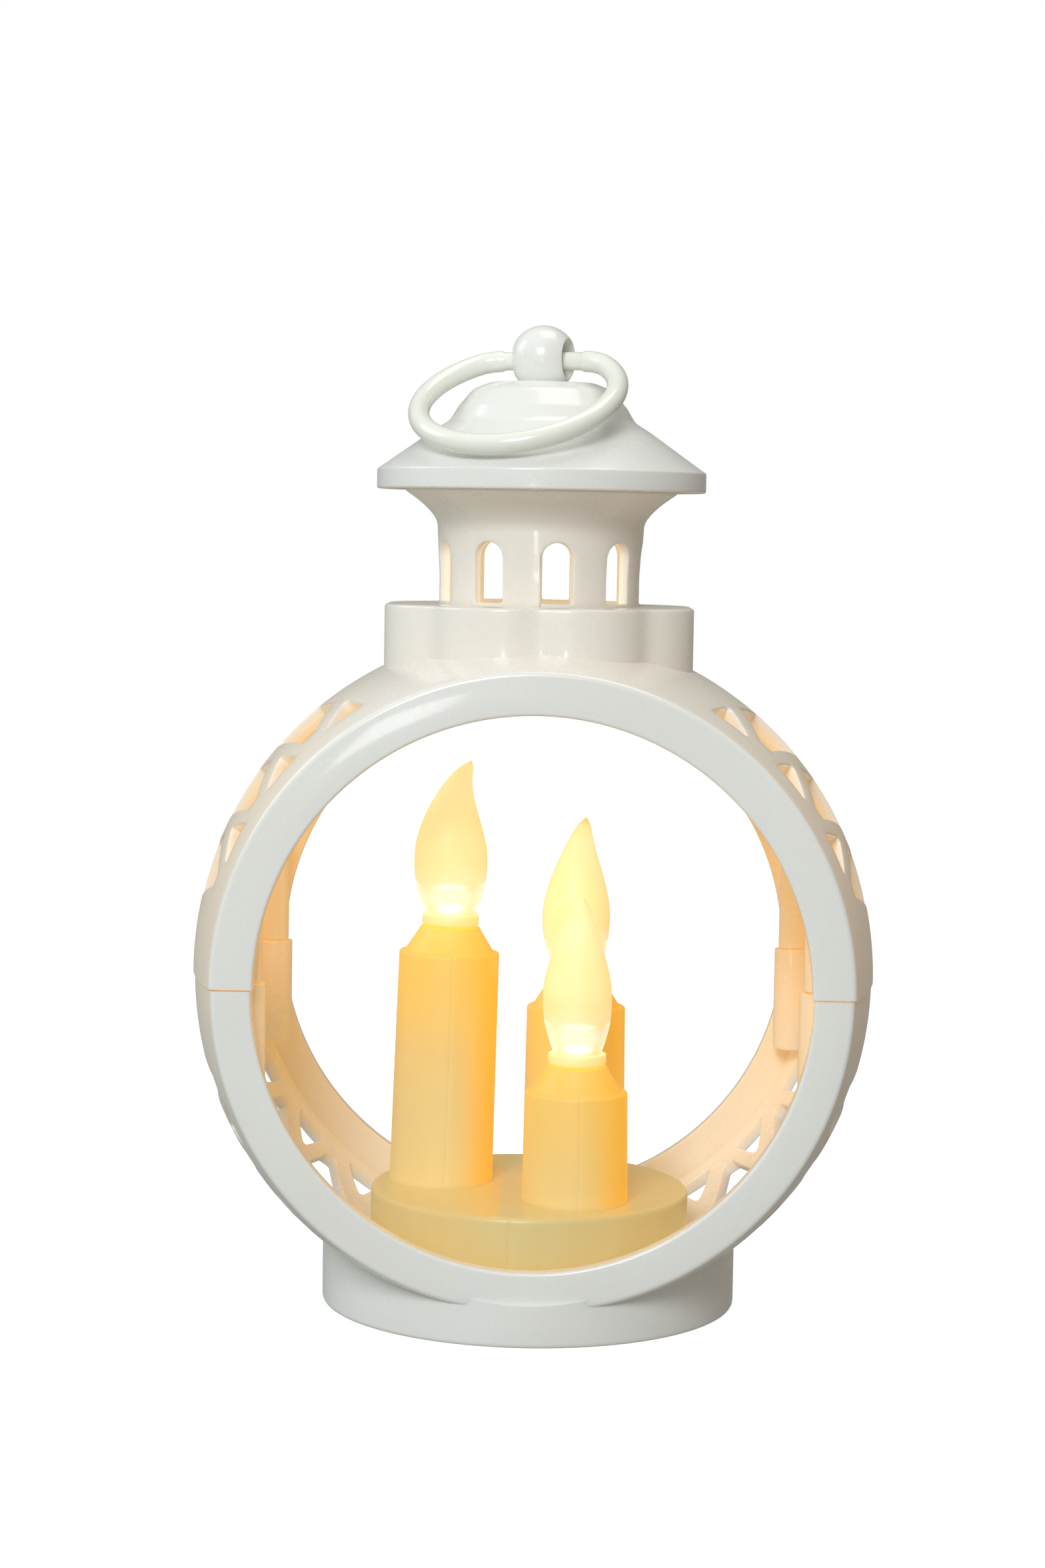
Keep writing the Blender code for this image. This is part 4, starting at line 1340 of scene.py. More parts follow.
@dataclass(frozen=True)
class PlatedSteel:
    """Bright plated steel, brushed one way, with duller spots."""

    name: str

    def material(self) -> Material:
        """The material of this finish."""
        paint = Paint(self.name)
        brushed = paint.streaks((900.0, 7000.0, 2500.0), 3.0)
        stain = paint.noise(0.0024, 4.0, 0.65)
        dull = stain.above(0.58, 0.12)
        paint.set(
            Base_Color=paint.mixed(dull, (0.72, 0.71, 0.69), (0.50, 0.47, 0.42)),
            Metallic=1.0,
            Roughness=brushed * 0.16 + dull * 0.16 + 0.17,
        )
        paint.bump(brushed * 0.7 + stain * 0.3, 0.000010)
        return paint.material


@dataclass(frozen=True)
class CellSleeve:
    """The shrunk sleeve of a cell: a dark body, a plain band and bare metal ends, with no lettering."""

    name: str
    half: float

    def material(self) -> Material:
        """The material of this finish."""
        paint = Paint(self.name)
        along = paint.axis("X")
        way = paint.node("ShaderNodeMath", {"operation": "SIGN"}, {0: paint.axis("Y")})
        band = (along * way).above(self.half * 0.42, 0.00008)
        bare = abs(along).above(self.half - 0.0011, 0.00005)
        shrink = paint.noise(0.0019, 3.0, 0.5)
        base = paint.mixed(band, (0.022, 0.030, 0.050), (0.58, 0.34, 0.10))
        base = paint.mixed(shrink.above(0.55, 0.2) * 0.25, base, (0.10, 0.10, 0.11))
        base = paint.mixed(bare, base, (0.70, 0.69, 0.66))
        paint.set(
            Base_Color=base,
            Metallic=bare,
            Roughness=shrink * 0.16 + 0.2,
            Coat_Weight=0.3,
            Coat_Roughness=0.08,
        )
        paint.bump(shrink, 0.00003)
        return paint.material


# ---------------------------------------------------------------- the two housings


@dataclass
class Housing:
    """The round body: an upper shell with the collar, and a lower shell with the base."""

    centre_z: float = 0.0600
    radius: float = 0.0600
    edge_radius: float = 0.0541
    half_depth: float = 0.0356
    wall: float = 0.0022
    bore: float = 0.0474
    face: float = 0.0030
    face_round: float = 0.0011
    seam_gap: float = 0.0003
    seam_step: float = 0.0003
    steps: int = 132
    arc: float = 0.0580
    rows: int = 48
    spacing: float = 0.0016
    units: int = 3
    pitch: float = 14.6
    rail_triangle: tuple[Flat, ...] = ((0.0288, 31.3), (0.0196, 34.2), (0.0288, 39.4))
    mid_window: tuple[Flat, ...] = (
        (0.0136, 36.3), (0.0257, 41.9), (0.0250, 44.0), (0.0016, 50.2), (0.0016, 40.0)
    )
    post_x: float = 0.0486
    post_y: float = 0.0283
    post_radius: float = 0.0025
    socket_radius: float = 0.0032
    post_height: float = 0.0190
    pin_radius: float = 0.0018
    pin_length: float = 0.0080
    web: float = 0.0014
    collar_top: float = 0.1248
    collar_bore: float = 0.0215
    collar_plate: float = 0.0020
    lobes: int = 8
    lobe_centre: float = 0.0144
    lobe_radius: float = 0.0139
    spigot_hole: float = 0.0155
    seat_radius: float = 0.0182
    seat_depth: float = 0.0008
    base_radius: float = 0.0370
    base_wall: float = 0.0020
    base_top: float = 0.0135
    trim_radius: float = 0.0527
    tray_hole: float = 0.0289
    boss_x: float = 0.0316

    def crown(self, y: float) -> float:
        """Outer radius of the lower shell at this distance from the mid plane."""
        return self.radius - (self.radius - self.edge_radius) * (y / self.half_depth) ** 2

    def surface(self, half: Half) -> Surface:
        """The place of (round, along) at a depth below the shell's outer face."""
        proud = self.seam_step if half is Half.UPPER else 0.0

        def place(u: float, v: float, depth: float) -> Vector:
            turn = u / self.arc
            far = self.crown(v) + proud - depth
            return Vector((far * math.sin(turn), v, self.centre_z + half.value * far * math.cos(turn)))

        return place

    def windows(self) -> list[Opening]:
        """The lattice of one shell, on both sides."""
        found = []
        for side in SIDES:
            for unit in range(self.units):
                for shape in (self.rail_triangle, self.mid_window):
                    for end in SIDES:
                        corners = [
                            (side * math.radians(angle + self.pitch * unit) * self.arc, end * y)
                            for y, angle in shape
                        ]
                        if area(corners) < 0:
                            corners.reverse()
                        outline = resampled(filleted(corners, True, 0.0008, 4), 0.0014)
                        found.append(Opening(outline, 0.00028))
        return found

    def border(self, reach: float) -> tuple[list[Flat], int]:
        """The edge of one shell laid flat, and how many points are in its long side."""
        end = math.pi / 2 * self.arc - self.seam_gap / 2
        across = spread(-end, end, self.steps + 1)
        along = spread(-reach, reach, self.rows + 1)
        outline = [(u, -reach) for u in across] + [(end, v) for v in along[1:]]
        outline += [(u, reach) for u in reversed(across[:-1])]
        outline += [(-end, v) for v in reversed(along[1:-1])]
        return outline, len(across)

    def band(
        self, shell: Shell, half: Half, pierced: Callable[[float], list[Flat]]
    ) -> tuple[list[int], list[int]]:
        """Add one half of the band, with its two faces and its lattice.

        Args:
            shell: Where it goes.
            half: Which half.
            pierced: Gives the edge of the big opening, in (round, along), at a radius below the crown.

        Returns:
            The loops of the big opening on the outer and the inner side.
        """
        place = self.surface(half)
        proud = self.seam_step if half is Half.UPPER else 0.0
        thick = self.wall + 2 * proud
        windows = self.windows()
        outer_reach, inner_reach = self.half_depth - 0.0022, self.half_depth - self.face
        wide = [grown(hole.outline, hole.fillet) for hole in windows]
        outline, count = self.border(outer_reach)
        front = filled(outline, [*wide, pierced(-proud)], self.spacing)
        outline, _ = self.border(inner_reach)
        back = filled(outline, [*wide, pierced(self.wall + proud)], self.spacing)
        outer, inner = shell.sheet(front, place, 0.0), shell.sheet(back, place, thick)
        for hole, first, second in zip(windows, front.holes, back.holes):
            shell.wall_of(hole, place, thick, [outer[i] for i in first], [inner[i] for i in second])
        bore = self.bore - proud
        for side in SIDES:
            corners = [
                (self.crown(outer_reach) + proud, outer_reach),
                (self.edge_radius + proud, self.half_depth, self.face_round),
                (bore, self.half_depth, 0.0006),
                (bore, inner_reach, 0.0003),
                (self.crown(inner_reach) - self.wall - proud, inner_reach),
            ]
            profile = filleted(corners, False, steps=5)[1:-1]
            start = 0 if side < 0 else count + self.rows - 1
            first = slice(start, start + count)
            rows = [[outer[i] for i in front.rim[first]]]
            turns_round = [front.points[i][0] / self.arc for i in front.rim[first]]
            for far, along in profile:
                rows.append(
                    shell.loop(
                        (far * math.sin(t), side * along, self.centre_z + half.value * far * math.cos(t))
                        for t in turns_round
                    )
                )
            rows.append([inner[i] for i in back.rim[first]])
            shell.joined(rows, closed=False)
        return [outer[i] for i in front.holes[-1]], [inner[i] for i in back.holes[-1]]

    def lobed(self, shrink: float = 0.0) -> list[Flat]:
        """The collar's outline of shallow lobes."""
        found = []
        steps = 16
        for index in range(self.lobes * steps):
            turn = 2 * math.pi * index / (self.lobes * steps)
            off = turn % (2 * math.pi / self.lobes) - math.pi / self.lobes
            reach = self.lobe_centre * math.cos(off)
            reach += math.sqrt(self.lobe_radius**2 - (self.lobe_centre * math.sin(off)) ** 2)
            groove = max(0.0, 1 - abs(abs(off) - math.pi / self.lobes) / 0.07)
            reach += 0.0004 * groove**2 - shrink
            found.append((reach * math.cos(turn), reach * math.sin(turn)))
        return found

    def upper(self) -> Piece:
        """The upper shell with its lattice, its posts and the lobed collar."""
        shell = Shell()
        ring = self.lobed()
        directions = [Vector(point).normalized() for point in ring]

        def opening(below: float) -> list[Flat]:
            chosen = ring if below <= 0.0 else [tuple(way * self.collar_bore) for way in directions]
            return [(math.asin(x / (self.crown(y) - below)) * self.arc, y) for x, y in chosen]

        foot, mouth = self.band(shell, Half.UPPER, opening)
        top, edge = self.collar_top, 0.0006
        rows = [foot]
        for turn in spread(0.0, math.pi / 2, 5):
            drop = edge * (1 - math.sin(turn))
            rows.append(
                shell.loop((x, y, top - drop) for x, y in self.lobed(edge * (1 - math.cos(turn))))
            )
        steps = [
            (self.seat_radius + 0.0002, top),
            (self.seat_radius, top - 0.0002),
            (self.seat_radius, top - self.seat_depth),
            (self.spigot_hole, top - self.seat_depth),
            (self.spigot_hole, top - self.collar_plate),
            (self.collar_bore - 0.0004, top - self.collar_plate),
            (self.collar_bore, top - self.collar_plate - 0.0004),
        ]
        rows += [shell.loop((far * way.x, far * way.y, z) for way in directions) for far, z in steps]
        rows.append(mouth)
        shell.joined(rows)
        foot_z = self.centre_z + 0.0004 + self.seam_gap
        for side in SIDES:
            for end in SIDES:
                x, y = side * self.post_x, end * self.post_y
                head = foot_z + self.post_height
                profile = filleted(
                    [
                        (0.0, foot_z - self.pin_length),
                        (self.pin_radius, foot_z - self.pin_length, 0.0006),
                        (self.pin_radius, foot_z),
                        (self.post_radius, foot_z, 0.0002),
                        (self.post_radius, head, 0.0006),
                        (0.0, head),
                    ],
                    False,
                )
                shell.lathe(profile, turns(32), Matrix.Translation((x, y, 0.0)))
                self.add_web(shell, side, y, foot_z + 0.0030, head - 0.0020)
        return shell.closed("upper_shell")

    def add_web(self, shell: Shell, side: int, y: float, low: float, high: float) -> None:
        """A thin web from a post out to the wall, whose outer edge follows the wall."""
        half, x = self.web / 2, self.post_x
        limit = self.crown(abs(y) + half) - self.wall * 0.6
        rows = []
        for z in spread(low, high, 12):
            far = math.sqrt(limit**2 - (z - self.centre_z) ** 2)
            rows.append(
                shell.loop(
                    [
                        (side * x, y - half, z), (side * far, y - half, z),
                        (side * far, y + half, z), (side * x, y + half, z),
                    ]
                )
            )
        shell.joined(rows)
        shell.cap(rows[0])
        shell.cap(rows[-1])

    def skirt_top(self, x: float, y: float) -> float:
        """Where the skirt's wall ends at this place: in the band's wall, or round its front face."""
        limit = self.trim_radius
        if abs(y) < self.half_depth - 0.0002:
            limit = max(self.crown(y) - self.wall / 2, self.trim_radius)
        if abs(x) >= limit:
            return self.base_top
        return min(self.base_top, self.centre_z - math.sqrt(limit**2 - x**2))

    def lower(self) -> Piece:
        """The lower shell with its lattice, its sockets and the round base."""
        shell = Shell()
        around = circle(1.0, 160)

        def opening(below: float) -> list[Flat]:
            spots = [(self.tray_hole * x, self.tray_hole * y) for x, y in around]
            return [(math.asin(x / (self.crown(y) - below)) * self.arc, y) for x, y in spots]

        outer, inner = self.band(shell, Half.LOWER, opening)
        shell.bridge(outer, inner)
        inside_wall = self.base_radius - self.base_wall
        feet = filleted(
            [
                (inside_wall, 0.004), (inside_wall, 0.0, 0.0003),
                (self.base_radius, 0.0, 0.0009), (self.base_radius, 0.004),
            ],
            False,
            steps=4,
        )
        rows = []
        skirt = circle(1.0, 216)
        for far, z in feet:
            rows.append(shell.loop((far * x, far * y, z) for x, y in skirt))
        for far in (self.base_radius, inside_wall):
            rows.append(
                shell.loop((far * x, far * y, self.skirt_top(far * x, far * y)) for x, y in skirt)
            )
        shell.joined(rows)
        shell.bridge(rows[-1], rows[0])
        top = self.centre_z + 0.0004
        low = top - self.post_height
        for side in SIDES:
            for end in SIDES:
                x, y = side * self.post_x, end * self.post_y
                well = self.pin_radius + 0.0003
                profile = filleted(
                    [
                        (0.0, low),
                        (self.socket_radius, low, 0.0006),
                        (self.socket_radius, top, 0.0003),
                        (well, top, 0.0002),
                        (well, top - self.pin_length - 0.0004),
                        (0.0, top - self.pin_length - 0.0004),
                    ],
                    False,
                )
                shell.lathe(profile, turns(36), Matrix.Translation((x, y, 0.0)))
                self.add_web(shell, side, y, low + 0.0020, top - 0.0030)
            boss = [
                (0.0, 0.0085), (0.0012, 0.0085), (0.0012, 0.0025),
                (0.0022, 0.0025), (0.0022, 0.0100), (0.0, 0.0100),
            ]
            shell.lathe(boss, turns(24), Matrix.Translation((side * self.boss_x, 0.0, 0.0)))
        return shell.closed("lower_shell")


# ---------------------------------------------------------------- chimney, roof and ring


@dataclass
class Chimney:
    """The pierced chimney with its flare and the spigot that plugs into the collar."""

    foot: float = 0.1243
    radius: float = 0.0178
    wall: float = 0.0018
    spigot: float = 0.0152
    windows: int = 9
    window_width: float = 0.0056
    window_foot: float = 0.1250
    window_head: float = 0.1359
    window_turn: float = 9.7
    flare_foot: float = 0.1388
    flare_head: float = 0.1446
    flare_radius: float = 0.0240
    rim: float = 0.1463
    columns: int = 144
    rows: int = 12
    spacing: float = 0.0011

    def outside(self, z: float) -> float:
        """Outer radius of the upright wall."""
        return self.radius + 0.0003 * min(max((z - 0.1300) / 0.0052, 0.0), 1.0) + 0.0002 * max(
            (z - 0.1352) / 0.0036, 0.0
        )

    def inside(self, z: float) -> float:
        """Inner radius of the upright wall."""
        return self.radius - self.wall + 0.0008 * max((z - 0.1352) / 0.0048, 0.0)

    def build(self) -> Piece:
        """The chimney with its arched windows."""
        shell = Shell()
        low, high = self.foot + 0.0004, self.flare_foot - 0.0010

        def place(u: float, v: float, depth: float) -> Vector:
            turn = u / self.radius
            share = depth / self.wall
            far = self.outside(v) * (1 - share) + self.inside(v) * share
            return Vector((far * math.sin(turn), -far * math.cos(turn), v))

        round_trip = 2 * math.pi * self.radius
        across = spread(0.0, round_trip, self.columns + 1)
        along = spread(low, high, self.rows)
        outline = [(u, low) for u in across] + [(round_trip, v) for v in along[1:]]
        outline += [(u, high) for u in reversed(across[:-1])] + [(0.0, v) for v in reversed(along[1:-1])]
        half = self.window_width / 2
        spring = self.window_head - half
        openings = []
        for index in range(self.windows):
            turned = math.radians(self.window_turn + 360 / self.windows * index) % (2 * math.pi)
            middle = turned * self.radius
            arch = [(half, self.window_foot + 0.0004), (half, spring)]
            arch += arc(half, 0.12, math.pi - 0.12, 14, spring)
            arch += [(-half, spring), (-half, self.window_foot + 0.0004)]
            flat = [(middle + u, v) for u, v in resampled(filleted(arch, True, 0.0005, 3), 0.0010)]
            openings.append(Opening(flat, 0.00032))
        wide = [grown(hole.outline, hole.fillet) for hole in openings]
        front = filled(outline, wide, self.spacing)
        outer, inner = shell.sheet(front, place, 0.0), shell.sheet(front, place, self.wall)
        for hole, loop in zip(openings, front.holes):
            shell.wall_of(hole, place, self.wall, [outer[i] for i in loop], [inner[i] for i in loop])
        count = len(across)
        turns_round = [u / self.radius for u in across]

        def row(far: float, z: float) -> list[int]:
            return shell.loop((far * math.sin(t), -far * math.cos(t), z) for t in turns_round)

        start = self.outside(self.flare_foot)
        flare = [(start + 0.0057 * s**1.6, self.flare_foot + 0.0058 * s) for s in spread(0.0, 0.92, 9)]
        profile = flare + filleted(
            [
                flare[-1],
                (self.flare_radius, self.flare_head, 0.0005),
                (self.flare_radius, self.rim, 0.0003),
                (self.flare_radius - 0.0012, self.rim, 0.0003),
                (self.flare_radius - 0.0014, self.flare_head + 0.0004, 0.0006),
                (self.inside(high) + 0.0006, self.flare_foot + 0.0012, 0.0012),
                (self.inside(high), high),
            ],
            False,
            steps=4,
        )[1:-1]
        start = count + self.rows - 2
        head = front.rim[start : start + count][::-1]
        top_outer, top_inner = [outer[i] for i in head], [inner[i] for i in head]
        rows = [top_outer, *[row(far, z) for far, z in profile], top_inner]
        shell.joined(rows, closed=False)
        spigot_foot = self.foot - 0.0026
        profile = filleted(
            [
                (self.outside(low), low),
                (self.radius, self.foot, 0.0002),
                (self.spigot, self.foot),
                (self.spigot, spigot_foot, 0.0003),
                (self.spigot - 0.0014, spigot_foot, 0.0002),
                (self.spigot - 0.0014, low),
                (self.inside(low), low),
            ],
            False,
        )[1:-1]
        rows = [[outer[i] for i in front.rim[:count]], *[row(far, z) for far, z in profile]]
        rows.append([inner[i] for i in front.rim[:count]])
        shell.joined(rows, closed=False)
        return shell.closed("chimney")


@dataclass
class Roof:
    """The hollow roof with its brim, its dome and the pierced ball on top."""

    brim_radius: float = 0.0291
    brim_foot: float = 0.1449
    brim_head: float = 0.1484
    wall: float = 0.0018
    dome_top: float = 0.1639
    ball_radius: float = 0.00585
    ball_z: float = 0.16815
    throat: float = 0.0022
    mouth: float = 0.0036
    hinge_turn: float = 20.0

    def build(self) -> Piece:
        """The roof and its ball."""
        shell = Shell()
        profile = filleted(
            [
                (0.0, self.dome_top - self.wall),
                (0.0088, self.dome_top - self.wall, 0.0010),
                (0.0120, 0.1604, 0.0020),
                (0.0146, 0.1566, 0.0030),
                (0.0180, 0.1541, 0.0030),
                (self.brim_radius - self.wall - 0.0002, self.brim_head - 0.0004, 0.0005),
                (self.brim_radius - self.wall, self.brim_foot, 0.0002),
                (self.brim_radius, self.brim_foot, 0.0005),
                (self.brim_radius, self.brim_head, 0.0005),
                (self.brim_radius - 0.0012, self.brim_head + 0.0008, 0.0008),
                (0.0193, 0.1553, 0.0060),
                (0.0164, 0.1571, 0.0030),
                (0.0149, 0.1596, 0.0040),
                (0.0123, 0.1627, 0.0040),
                (0.0092, self.dome_top, 0.0028),
                (0.0041, self.dome_top + 0.0001, 0.0005),
                (0.0040, self.dome_top + 0.0014),
                (0.0, self.dome_top + 0.0014),
            ],
            False,
            steps=6,
        )
        shell.lathe(profile, turns(144))
        reach = math.sqrt(self.ball_radius**2 - self.mouth**2)
        widen = self.mouth - self.throat
        ball = [(self.throat + widen * abs(s) ** 2.2, reach * s) for s in spread(-1.0, 1.0, 17)]
        end = math.atan2(reach, self.mouth)
        ball += arc(self.ball_radius, end, -end, 33)[1:-1]
        place = Matrix.Translation((0.0, 0.0, self.ball_z))
        place = place @ Matrix.Rotation(math.radians(-self.hinge_turn), 4, "Z")
        place = place @ Matrix.Rotation(math.radians(90), 4, "Y")
        shell.lathe(ball, turns(96), place, closed=True)
        return shell.closed("roof")


@dataclass
class HangingRing:
    """The round ring, with a thinner straight stretch through the ball."""

    hinge_z: float = 0.16775
    radius: float = 0.0174
    offset: float = 0.0145
    tube: float = 0.00185
    neck: float = 0.00160
    neck_half: float = 0.0072
    droop: float = 29.0
    hinge_turn: float = 20.0
    points: int = 240

    def build(self, material: Material) -> Piece:
        """The ring as one rod that closes on itself."""
        turn, droop = math.radians(self.hinge_turn), math.radians(self.droop)
        hinge = Vector((math.cos(turn), -math.sin(turn), 0.0))
        flat = Vector((-math.sin(turn), -math.cos(turn), 0.0))
        hang = flat * math.cos(droop) - UP * math.sin(droop)
        middle = Vector((0.0, 0.0, self.hinge_z)) + hang * self.offset
        sharpness = 24
        line, radii = [], []
        for index in range(self.points):
            angle = 2 * math.pi * index / self.points
            toward = math.cos(angle)
            reach = self.radius
            if toward > 0.2:
                chord = self.offset / toward
                reach = (self.radius**-sharpness + chord**-sharpness) ** (-1 / sharpness)
            across = reach * math.sin(angle)
            line.append(middle - hang * (reach * toward) + hinge * across)
            grow = min(max((abs(across) - self.neck_half) / 0.0006, 0.0), 1.0) if toward > 0 else 1.0
            radii.append(self.neck + (self.tube - self.neck) * grow)
        return rod("ring", line, radii, material, 32, cyclic=True)


# ---------------------------------------------------------------- candles


class Candle(enum.Enum):
    """The three candles: foot x, foot y, ledge height, lean and the way the flame's tip bends."""

    TALL = (-0.0161, 0.0037, 0.0621, 1.3, 0.0)
    SHORT = (0.0080, -0.0127, 0.0399, 0.0, -80.0)
    MIDDLE = (0.0080, 0.0130, 0.0511, 0.0, 60.0)

    @property
    def label(self) -> str:
        """The candle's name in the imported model."""
        return self.name.lower()


@dataclass
class Candles:
    """The amber tray, its three candles, and their flames, lamps and wires."""

    tray_radius: float = 0.0285
    tray_top: float = 0.0205
    tray_foot: float = 0.0046
    tray_plate: float = 0.0015
    tray_wall: float = 0.0012
    foot_radius: float = 0.0094
    top_radius: float = 0.0090
    sleeve_bore: float = 0.0074
    shoulder: float = 0.0079
    nozzle: float = 0.00525
    nozzle_height: float = 0.0046
    nozzle_bore: float = 0.0041
    sink: float = 0.0008
    parting: float = 0.00010
    rim_foot: float = 0.0049
    rim_head: float = 0.0068
    rim_radius: float = 0.0051
    tip: float = 0.0346
    stem: float = 0.0037
    cavity: float = 0.0029
    cavity_top: float = 0.0150
    bend: float = 0.0027
    wave: float = 0.0006
    flat: float = 0.92
    lamp_radius: float = 0.0025
    lamp_foot: float = 0.0030
    lamp_head: float = 0.0116
    wire_radius: float = 0.0005
    wire_spread: float = 0.00127
    board_top: float = 0.0160
    screws: tuple[Flat, ...] = ((-0.0087, 0.0215), (-0.0123, -0.0197), (0.0190, -0.0161))
    belly: tuple[Flat, ...] = (
        (0.0048, 0.0076), (0.0056, 0.0098), (0.0063, 0.0125), (0.0066, 0.0160), (0.0064, 0.0190),
        (0.0057, 0.0220), (0.0047, 0.0250), (0.0035, 0.0280), (0.0023, 0.0310), (0.0013, 0.0332),
    )

    def place(self, candle: Candle) -> Matrix:
        """A matrix whose origin is the candle's foot and whose Z runs up along it."""
        x, y, _, lean, _ = candle.value
        return Matrix.Translation((x, y, self.tray_top)) @ Matrix.Rotation(math.radians(lean), 4, "Y")

    def ledge(self, candle: Candle) -> float:
        """Height of the candle's ledge above the tray."""
        return candle.value[2] - self.tray_top

    def above_ledge(self, candle: Candle, height: float) -> Vector:
        """The place on the candle's axis at this height above its ledge."""
        return self.place(candle) @ Vector((0.0, 0.0, self.ledge(candle) + height))

    def tray(self) -> Piece:
        """The tray and the three sleeves that stand on it."""
        shell = Shell()
        inner = self.tray_radius - self.tray_wall
        profile = filleted(
            [
                (0.0, self.tray_top - self.tray_plate),
                (inner, self.tray_top - self.tray_plate, 0.0006),
                (inner, self.tray_foot),
                (self.tray_radius, self.tray_foot, 0.0003),
                (self.tray_radius, self.tray_top, 0.0011),
                (0.0, self.tray_top),
            ],
            False,
            steps=5,
        )
        weld = math.radians(-97.0)

        def seamed(radius: float, height: float, turn: float) -> float:
            near = math.remainder(turn - weld, 2 * math.pi) * radius
            depth = self.parting * math.exp(-((near / 0.00022) ** 2))
            return radius - (depth if height > self.tray_foot and radius > inner + 0.0001 else 0.0)

        shell.lathe(profile, turns(168, (weld,), 0.018), reach=seamed)
        for candle in Candle:
            ledge = self.ledge(candle)
            head = ledge + self.nozzle_height
            sleeve = filleted(
                [
                    (self.sleeve_bore, -self.sink),
                    (self.foot_radius, -self.sink),
                    (self.foot_radius, 0.0),
                    (self.foot_radius - 0.0001, 0.0020),
                    (self.top_radius, ledge, 0.0004),
                    (self.shoulder, ledge + 0.0003, 0.0003),
                    (self.nozzle + 0.0005, head - 0.0009, 0.0010),
                    (self.nozzle, head, 0.0004),
                    (self.nozzle_bore, head, 0.0002),
                    (self.nozzle_bore, head - 0.0014),
                    (self.sleeve_bore, ledge - 0.0010, 0.0004),
                ],
                True,
                steps=4,
            )
            front = math.radians({Candle.TALL: -84.0, Candle.SHORT: -86.0, Candle.MIDDLE: -100.0}[candle])
            lines = (front, front + math.pi)

            def parted(radius: float, height: float, turn: float) -> float:
                ridge = 0.0
                for line in lines:
                    near = math.remainder(turn - line, 2 * math.pi) * radius
                    ridge += self.parting * math.exp(-((near / 0.00020) ** 2))
                whole = radius > self.sleeve_bore + 0.0005 and 0.0 <= height <= ledge + 0.0003
                return radius - (ridge if whole else 0.0)

            shell.lathe(sleeve, turns(96, lines, 0.045), self.place(candle), closed=True, reach=parted)
        for x, y in self.screws:
            boss = [
                (0.0015, self.tray_foot), (0.0030, self.tray_foot), (0.0030, self.tray_top - 0.0010),
                (0.0, self.tray_top - 0.0010), (0.0, 0.0150), (0.0015, 0.0150),
            ]
            shell.lathe(boss, turns(24), Matrix.Translation((x, y, 0.0)), closed=True)
        return shell.closed("tray_and_candles")

    def smooth_belly(self, ledge: float) -> list[Flat]:
        """The flame's side as a fine curve through its given widths."""
        given = [Vector(point) for point in self.belly] + [Vector((0.0, self.tip))]
        found = []
        for index in range(len(given) - 1):
            before = given[index - 1] if index else given[0] * 2 - given[1]
            here, on = given[index], given[index + 1]
            after = given[index + 2] if index + 2 < len(given) else Vector((-on.x, on.y))
            for step in range(4):
                t = step / 4
                point = 0.5 * (
                    2 * here
                    + (on - before) * t
                    + (2 * before - 5 * here + 4 * on - after) * t**2
                    + (3 * here - before - 3 * on + after) * t**3
                )
                found.append((max(point.x, 0.0003), ledge + point.y))
        return found + [(0.0, ledge + self.tip)]

    def flame(self, candle: Candle) -> Piece:
        """One flame: turned, then flattened a little and bent to one side."""
        ledge = self.ledge(candle)
        foot, rim = ledge + self.rim_foot, ledge + self.rim_head
        stem_foot = ledge + self.nozzle_height - 0.0030
        outline = filleted(
            [
                (0.0, ledge + self.cavity_top),
                (self.cavity, ledge + self.cavity_top, 0.0018),
                (self.cavity, stem_foot),
                (self.stem, stem_foot),
                (self.stem, foot),
                (self.rim_radius, foot, 0.0004),
                (self.rim_radius, rim, 0.0006),
                (0.0046, rim, 0.0002),
                self.smooth_belly(ledge)[0],
            ],
            False,
            steps=4,
        )
        outline += self.smooth_belly(ledge)[1:]
        shell = Shell()
        shell.lathe(outline, turns(56))
        turn = math.radians(candle.value[4])
        bend = Vector((math.cos(turn), math.sin(turn), 0.0))
        across = Vector((-math.sin(turn), math.cos(turn), 0.0))
        tip = ledge + self.tip
        for point in shell.points:
            up = (point.z - rim) / (tip - rim)
            hollow = math.hypot(point.x, point.y) < self.cavity + NEAR
            hollow = hollow and point.z < ledge + self.cavity_top + NEAR
            if up > 0.0 and not hollow:
                point -= across * across.dot(point) * (1 - self.flat)
                point += bend * (self.bend * up**7 - self.wave * math.sin(math.pi * up))
                turned = math.atan2(across.dot(point), bend.dot(point))
                point += bend * (0.00022 * math.sin(2 * turned + 5 * up) * math.sin(math.pi * min(up, 1.0)))
        place = self.place(candle)
        shell.points = [place @ point for point in shell.points]
        return shell.closed("lit_flame_" + candle.label)

    def lamp(self, candle: Candle) -> Piece:
        """The round lamp in the foot of one flame."""
        ledge = self.ledge(candle)
        foot, head = ledge + self.lamp_foot, ledge + self.lamp_head
        wide = self.lamp_radius
        outline = [(0.0, foot), (wide, foot), (wide, foot + 0.0009), (wide * 0.94, foot + 0.0011)]
        outline += [
            (wide * 0.94 * math.cos(a), head - wide + wide * math.sin(a)) for a in spread(0.0, math.pi / 2, 9)
        ]
        return turned("lamp_" + candle.label, outline[:-1] + [(0.0, head)], 32, self.place(candle))

